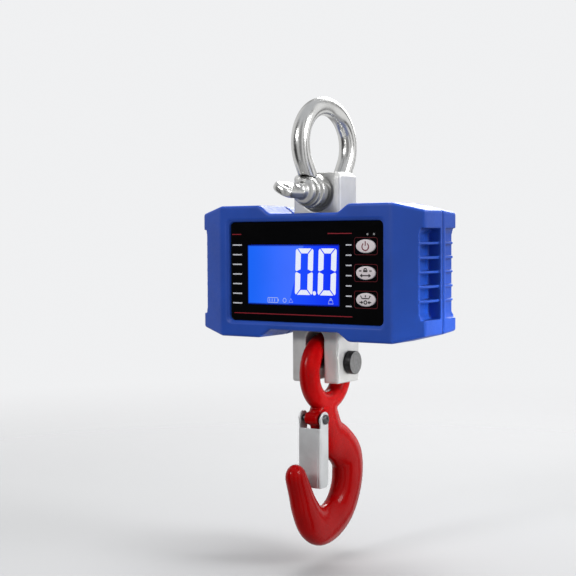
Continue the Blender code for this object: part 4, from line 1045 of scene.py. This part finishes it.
def make_world():
    """The camera sees a plain backdrop. The object sees a room of bright and dark upright bands."""
    world = bpy.data.worlds.new("studio")
    bpy.context.scene.world = world
    n = WorldNodes(world)
    coordinates = n.add("ShaderNodeTexCoord")
    split = n.add("ShaderNodeSeparateXYZ", Vector=coordinates.outputs["Generated"])
    angle = n.add("ShaderNodeMath", first=split.outputs["Y"], second=split.outputs["X"])
    angle.operation = "ARCTAN2"
    turn = n.add("ShaderNodeMapRange", Value=angle.outputs[0], From_Min=-math.pi, From_Max=math.pi)
    bands = n.add("ShaderNodeValToRGB", Fac=turn.outputs["Result"])
    bands.color_ramp.interpolation = "LINEAR"
    stops = bands.color_ramp.elements
    for _ in range(len(ROOM) - len(stops)):
        stops.new(0.5)
    for stop, (degrees, bright) in zip(stops, ROOM):
        stop.position = (degrees + 180) / 360
        stop.color = (bright, bright, bright, 1.0)
    high = n.ramp(split.outputs["Z"], 0.62, 0.92)
    above = n.add("ShaderNodeMixRGB", Fac=high, Color1=bands.outputs["Color"], Color2=(*CEILING, 1.0))
    low = n.ramp(split.outputs["Z"], -0.55, -0.80)
    below = n.add("ShaderNodeMixRGB", Fac=low, Color1=above.outputs["Color"], Color2=(*GROUND, 1.0))
    room = n.add("ShaderNodeBackground", Color=below.outputs["Color"], Strength=0.95)
    plain = n.add("ShaderNodeBackground", Color=(*BACKDROP, 1.0), Strength=1.0)
    rays = n.add("ShaderNodeLightPath")
    pick = n.add("ShaderNodeMixShader", first=rays.outputs["Is Camera Ray"], second=room.outputs[0],
                 third=plain.outputs[0])
    n.add("ShaderNodeOutputWorld", Surface=pick.outputs[0])


def add_light(name, place, size, energy, aim=(0, 0, 0), spread=180, mirrored=True):
    """A disk lamp. place and aim are in metres from the housing's middle; mirrored lamps show in gloss."""
    data = bpy.data.lights.new(name, "AREA")
    data.shape = "DISK"
    data.size = size
    data.energy = energy
    data.spread = math.radians(spread)
    lamp = bpy.data.objects.new(name, data)
    lamp.location = Vector(place) + MID
    lamp.rotation_euler = (Vector(aim) - Vector(place)).to_track_quat("-Z", "Y").to_euler()
    lamp.visible_glossy = mirrored
    bpy.context.scene.collection.objects.link(lamp)


def make_lights():
    add_light("key", (1.15, 0.15, 0.55), 0.55, 9.0)
    add_light("top", (0.05, 0.15, 1.2), 0.7, 13.0, mirrored=False)
    add_light("back", (-0.28, 0.95, 0.50), 0.6, 8.0)
    add_light("front", (-0.30, -1.05, 0.50), 0.28, 5.2)
    add_light("side", (0.9, 0.05, -0.08), 0.1, 0.032, (0, 0, -0.052), 7, False)


def make_camera():
    """The object is seen from its front right, a little above the middle of the housing."""
    forward = Vector((-0.5587, 0.8283, -0.0416)).normalized()
    right = forward.cross(Vector((-0.0189, 0.0374, 0.9991))).normalized()
    up = right.cross(forward)
    place = Vector((0.4450, -0.7056, 0.0233)) + MID
    camera = bpy.data.cameras.new("camera")
    camera.lens = 76.22
    camera.sensor_width = 36.0
    camera.clip_start = 0.01
    obj = bpy.data.objects.new("camera", camera)
    obj.matrix_world = Matrix(((right.x, up.x, -forward.x, place.x), (right.y, up.y, -forward.y, place.y),
                               (right.z, up.z, -forward.z, place.z), (0, 0, 0, 1)))
    bpy.context.scene.collection.objects.link(obj)
    bpy.context.scene.camera = obj


def main():
    m = make_materials()
    dress_nodes(m)
    make_shells(m)
    make_load_cell(m)
    make_shackle(m)
    make_shackle_pin(m)
    make_hook(m)
    make_hook_pin(m)
    make_latch(m)
    make_latch_spring(m)
    make_fascia(m)
    make_keys(m)
    make_printing(m)
    key_symbols(m)
    make_display(m)
    make_stage()
    make_world()
    make_lights()
    make_camera()
    bpy.context.scene.view_settings.view_transform = "Standard"


main()
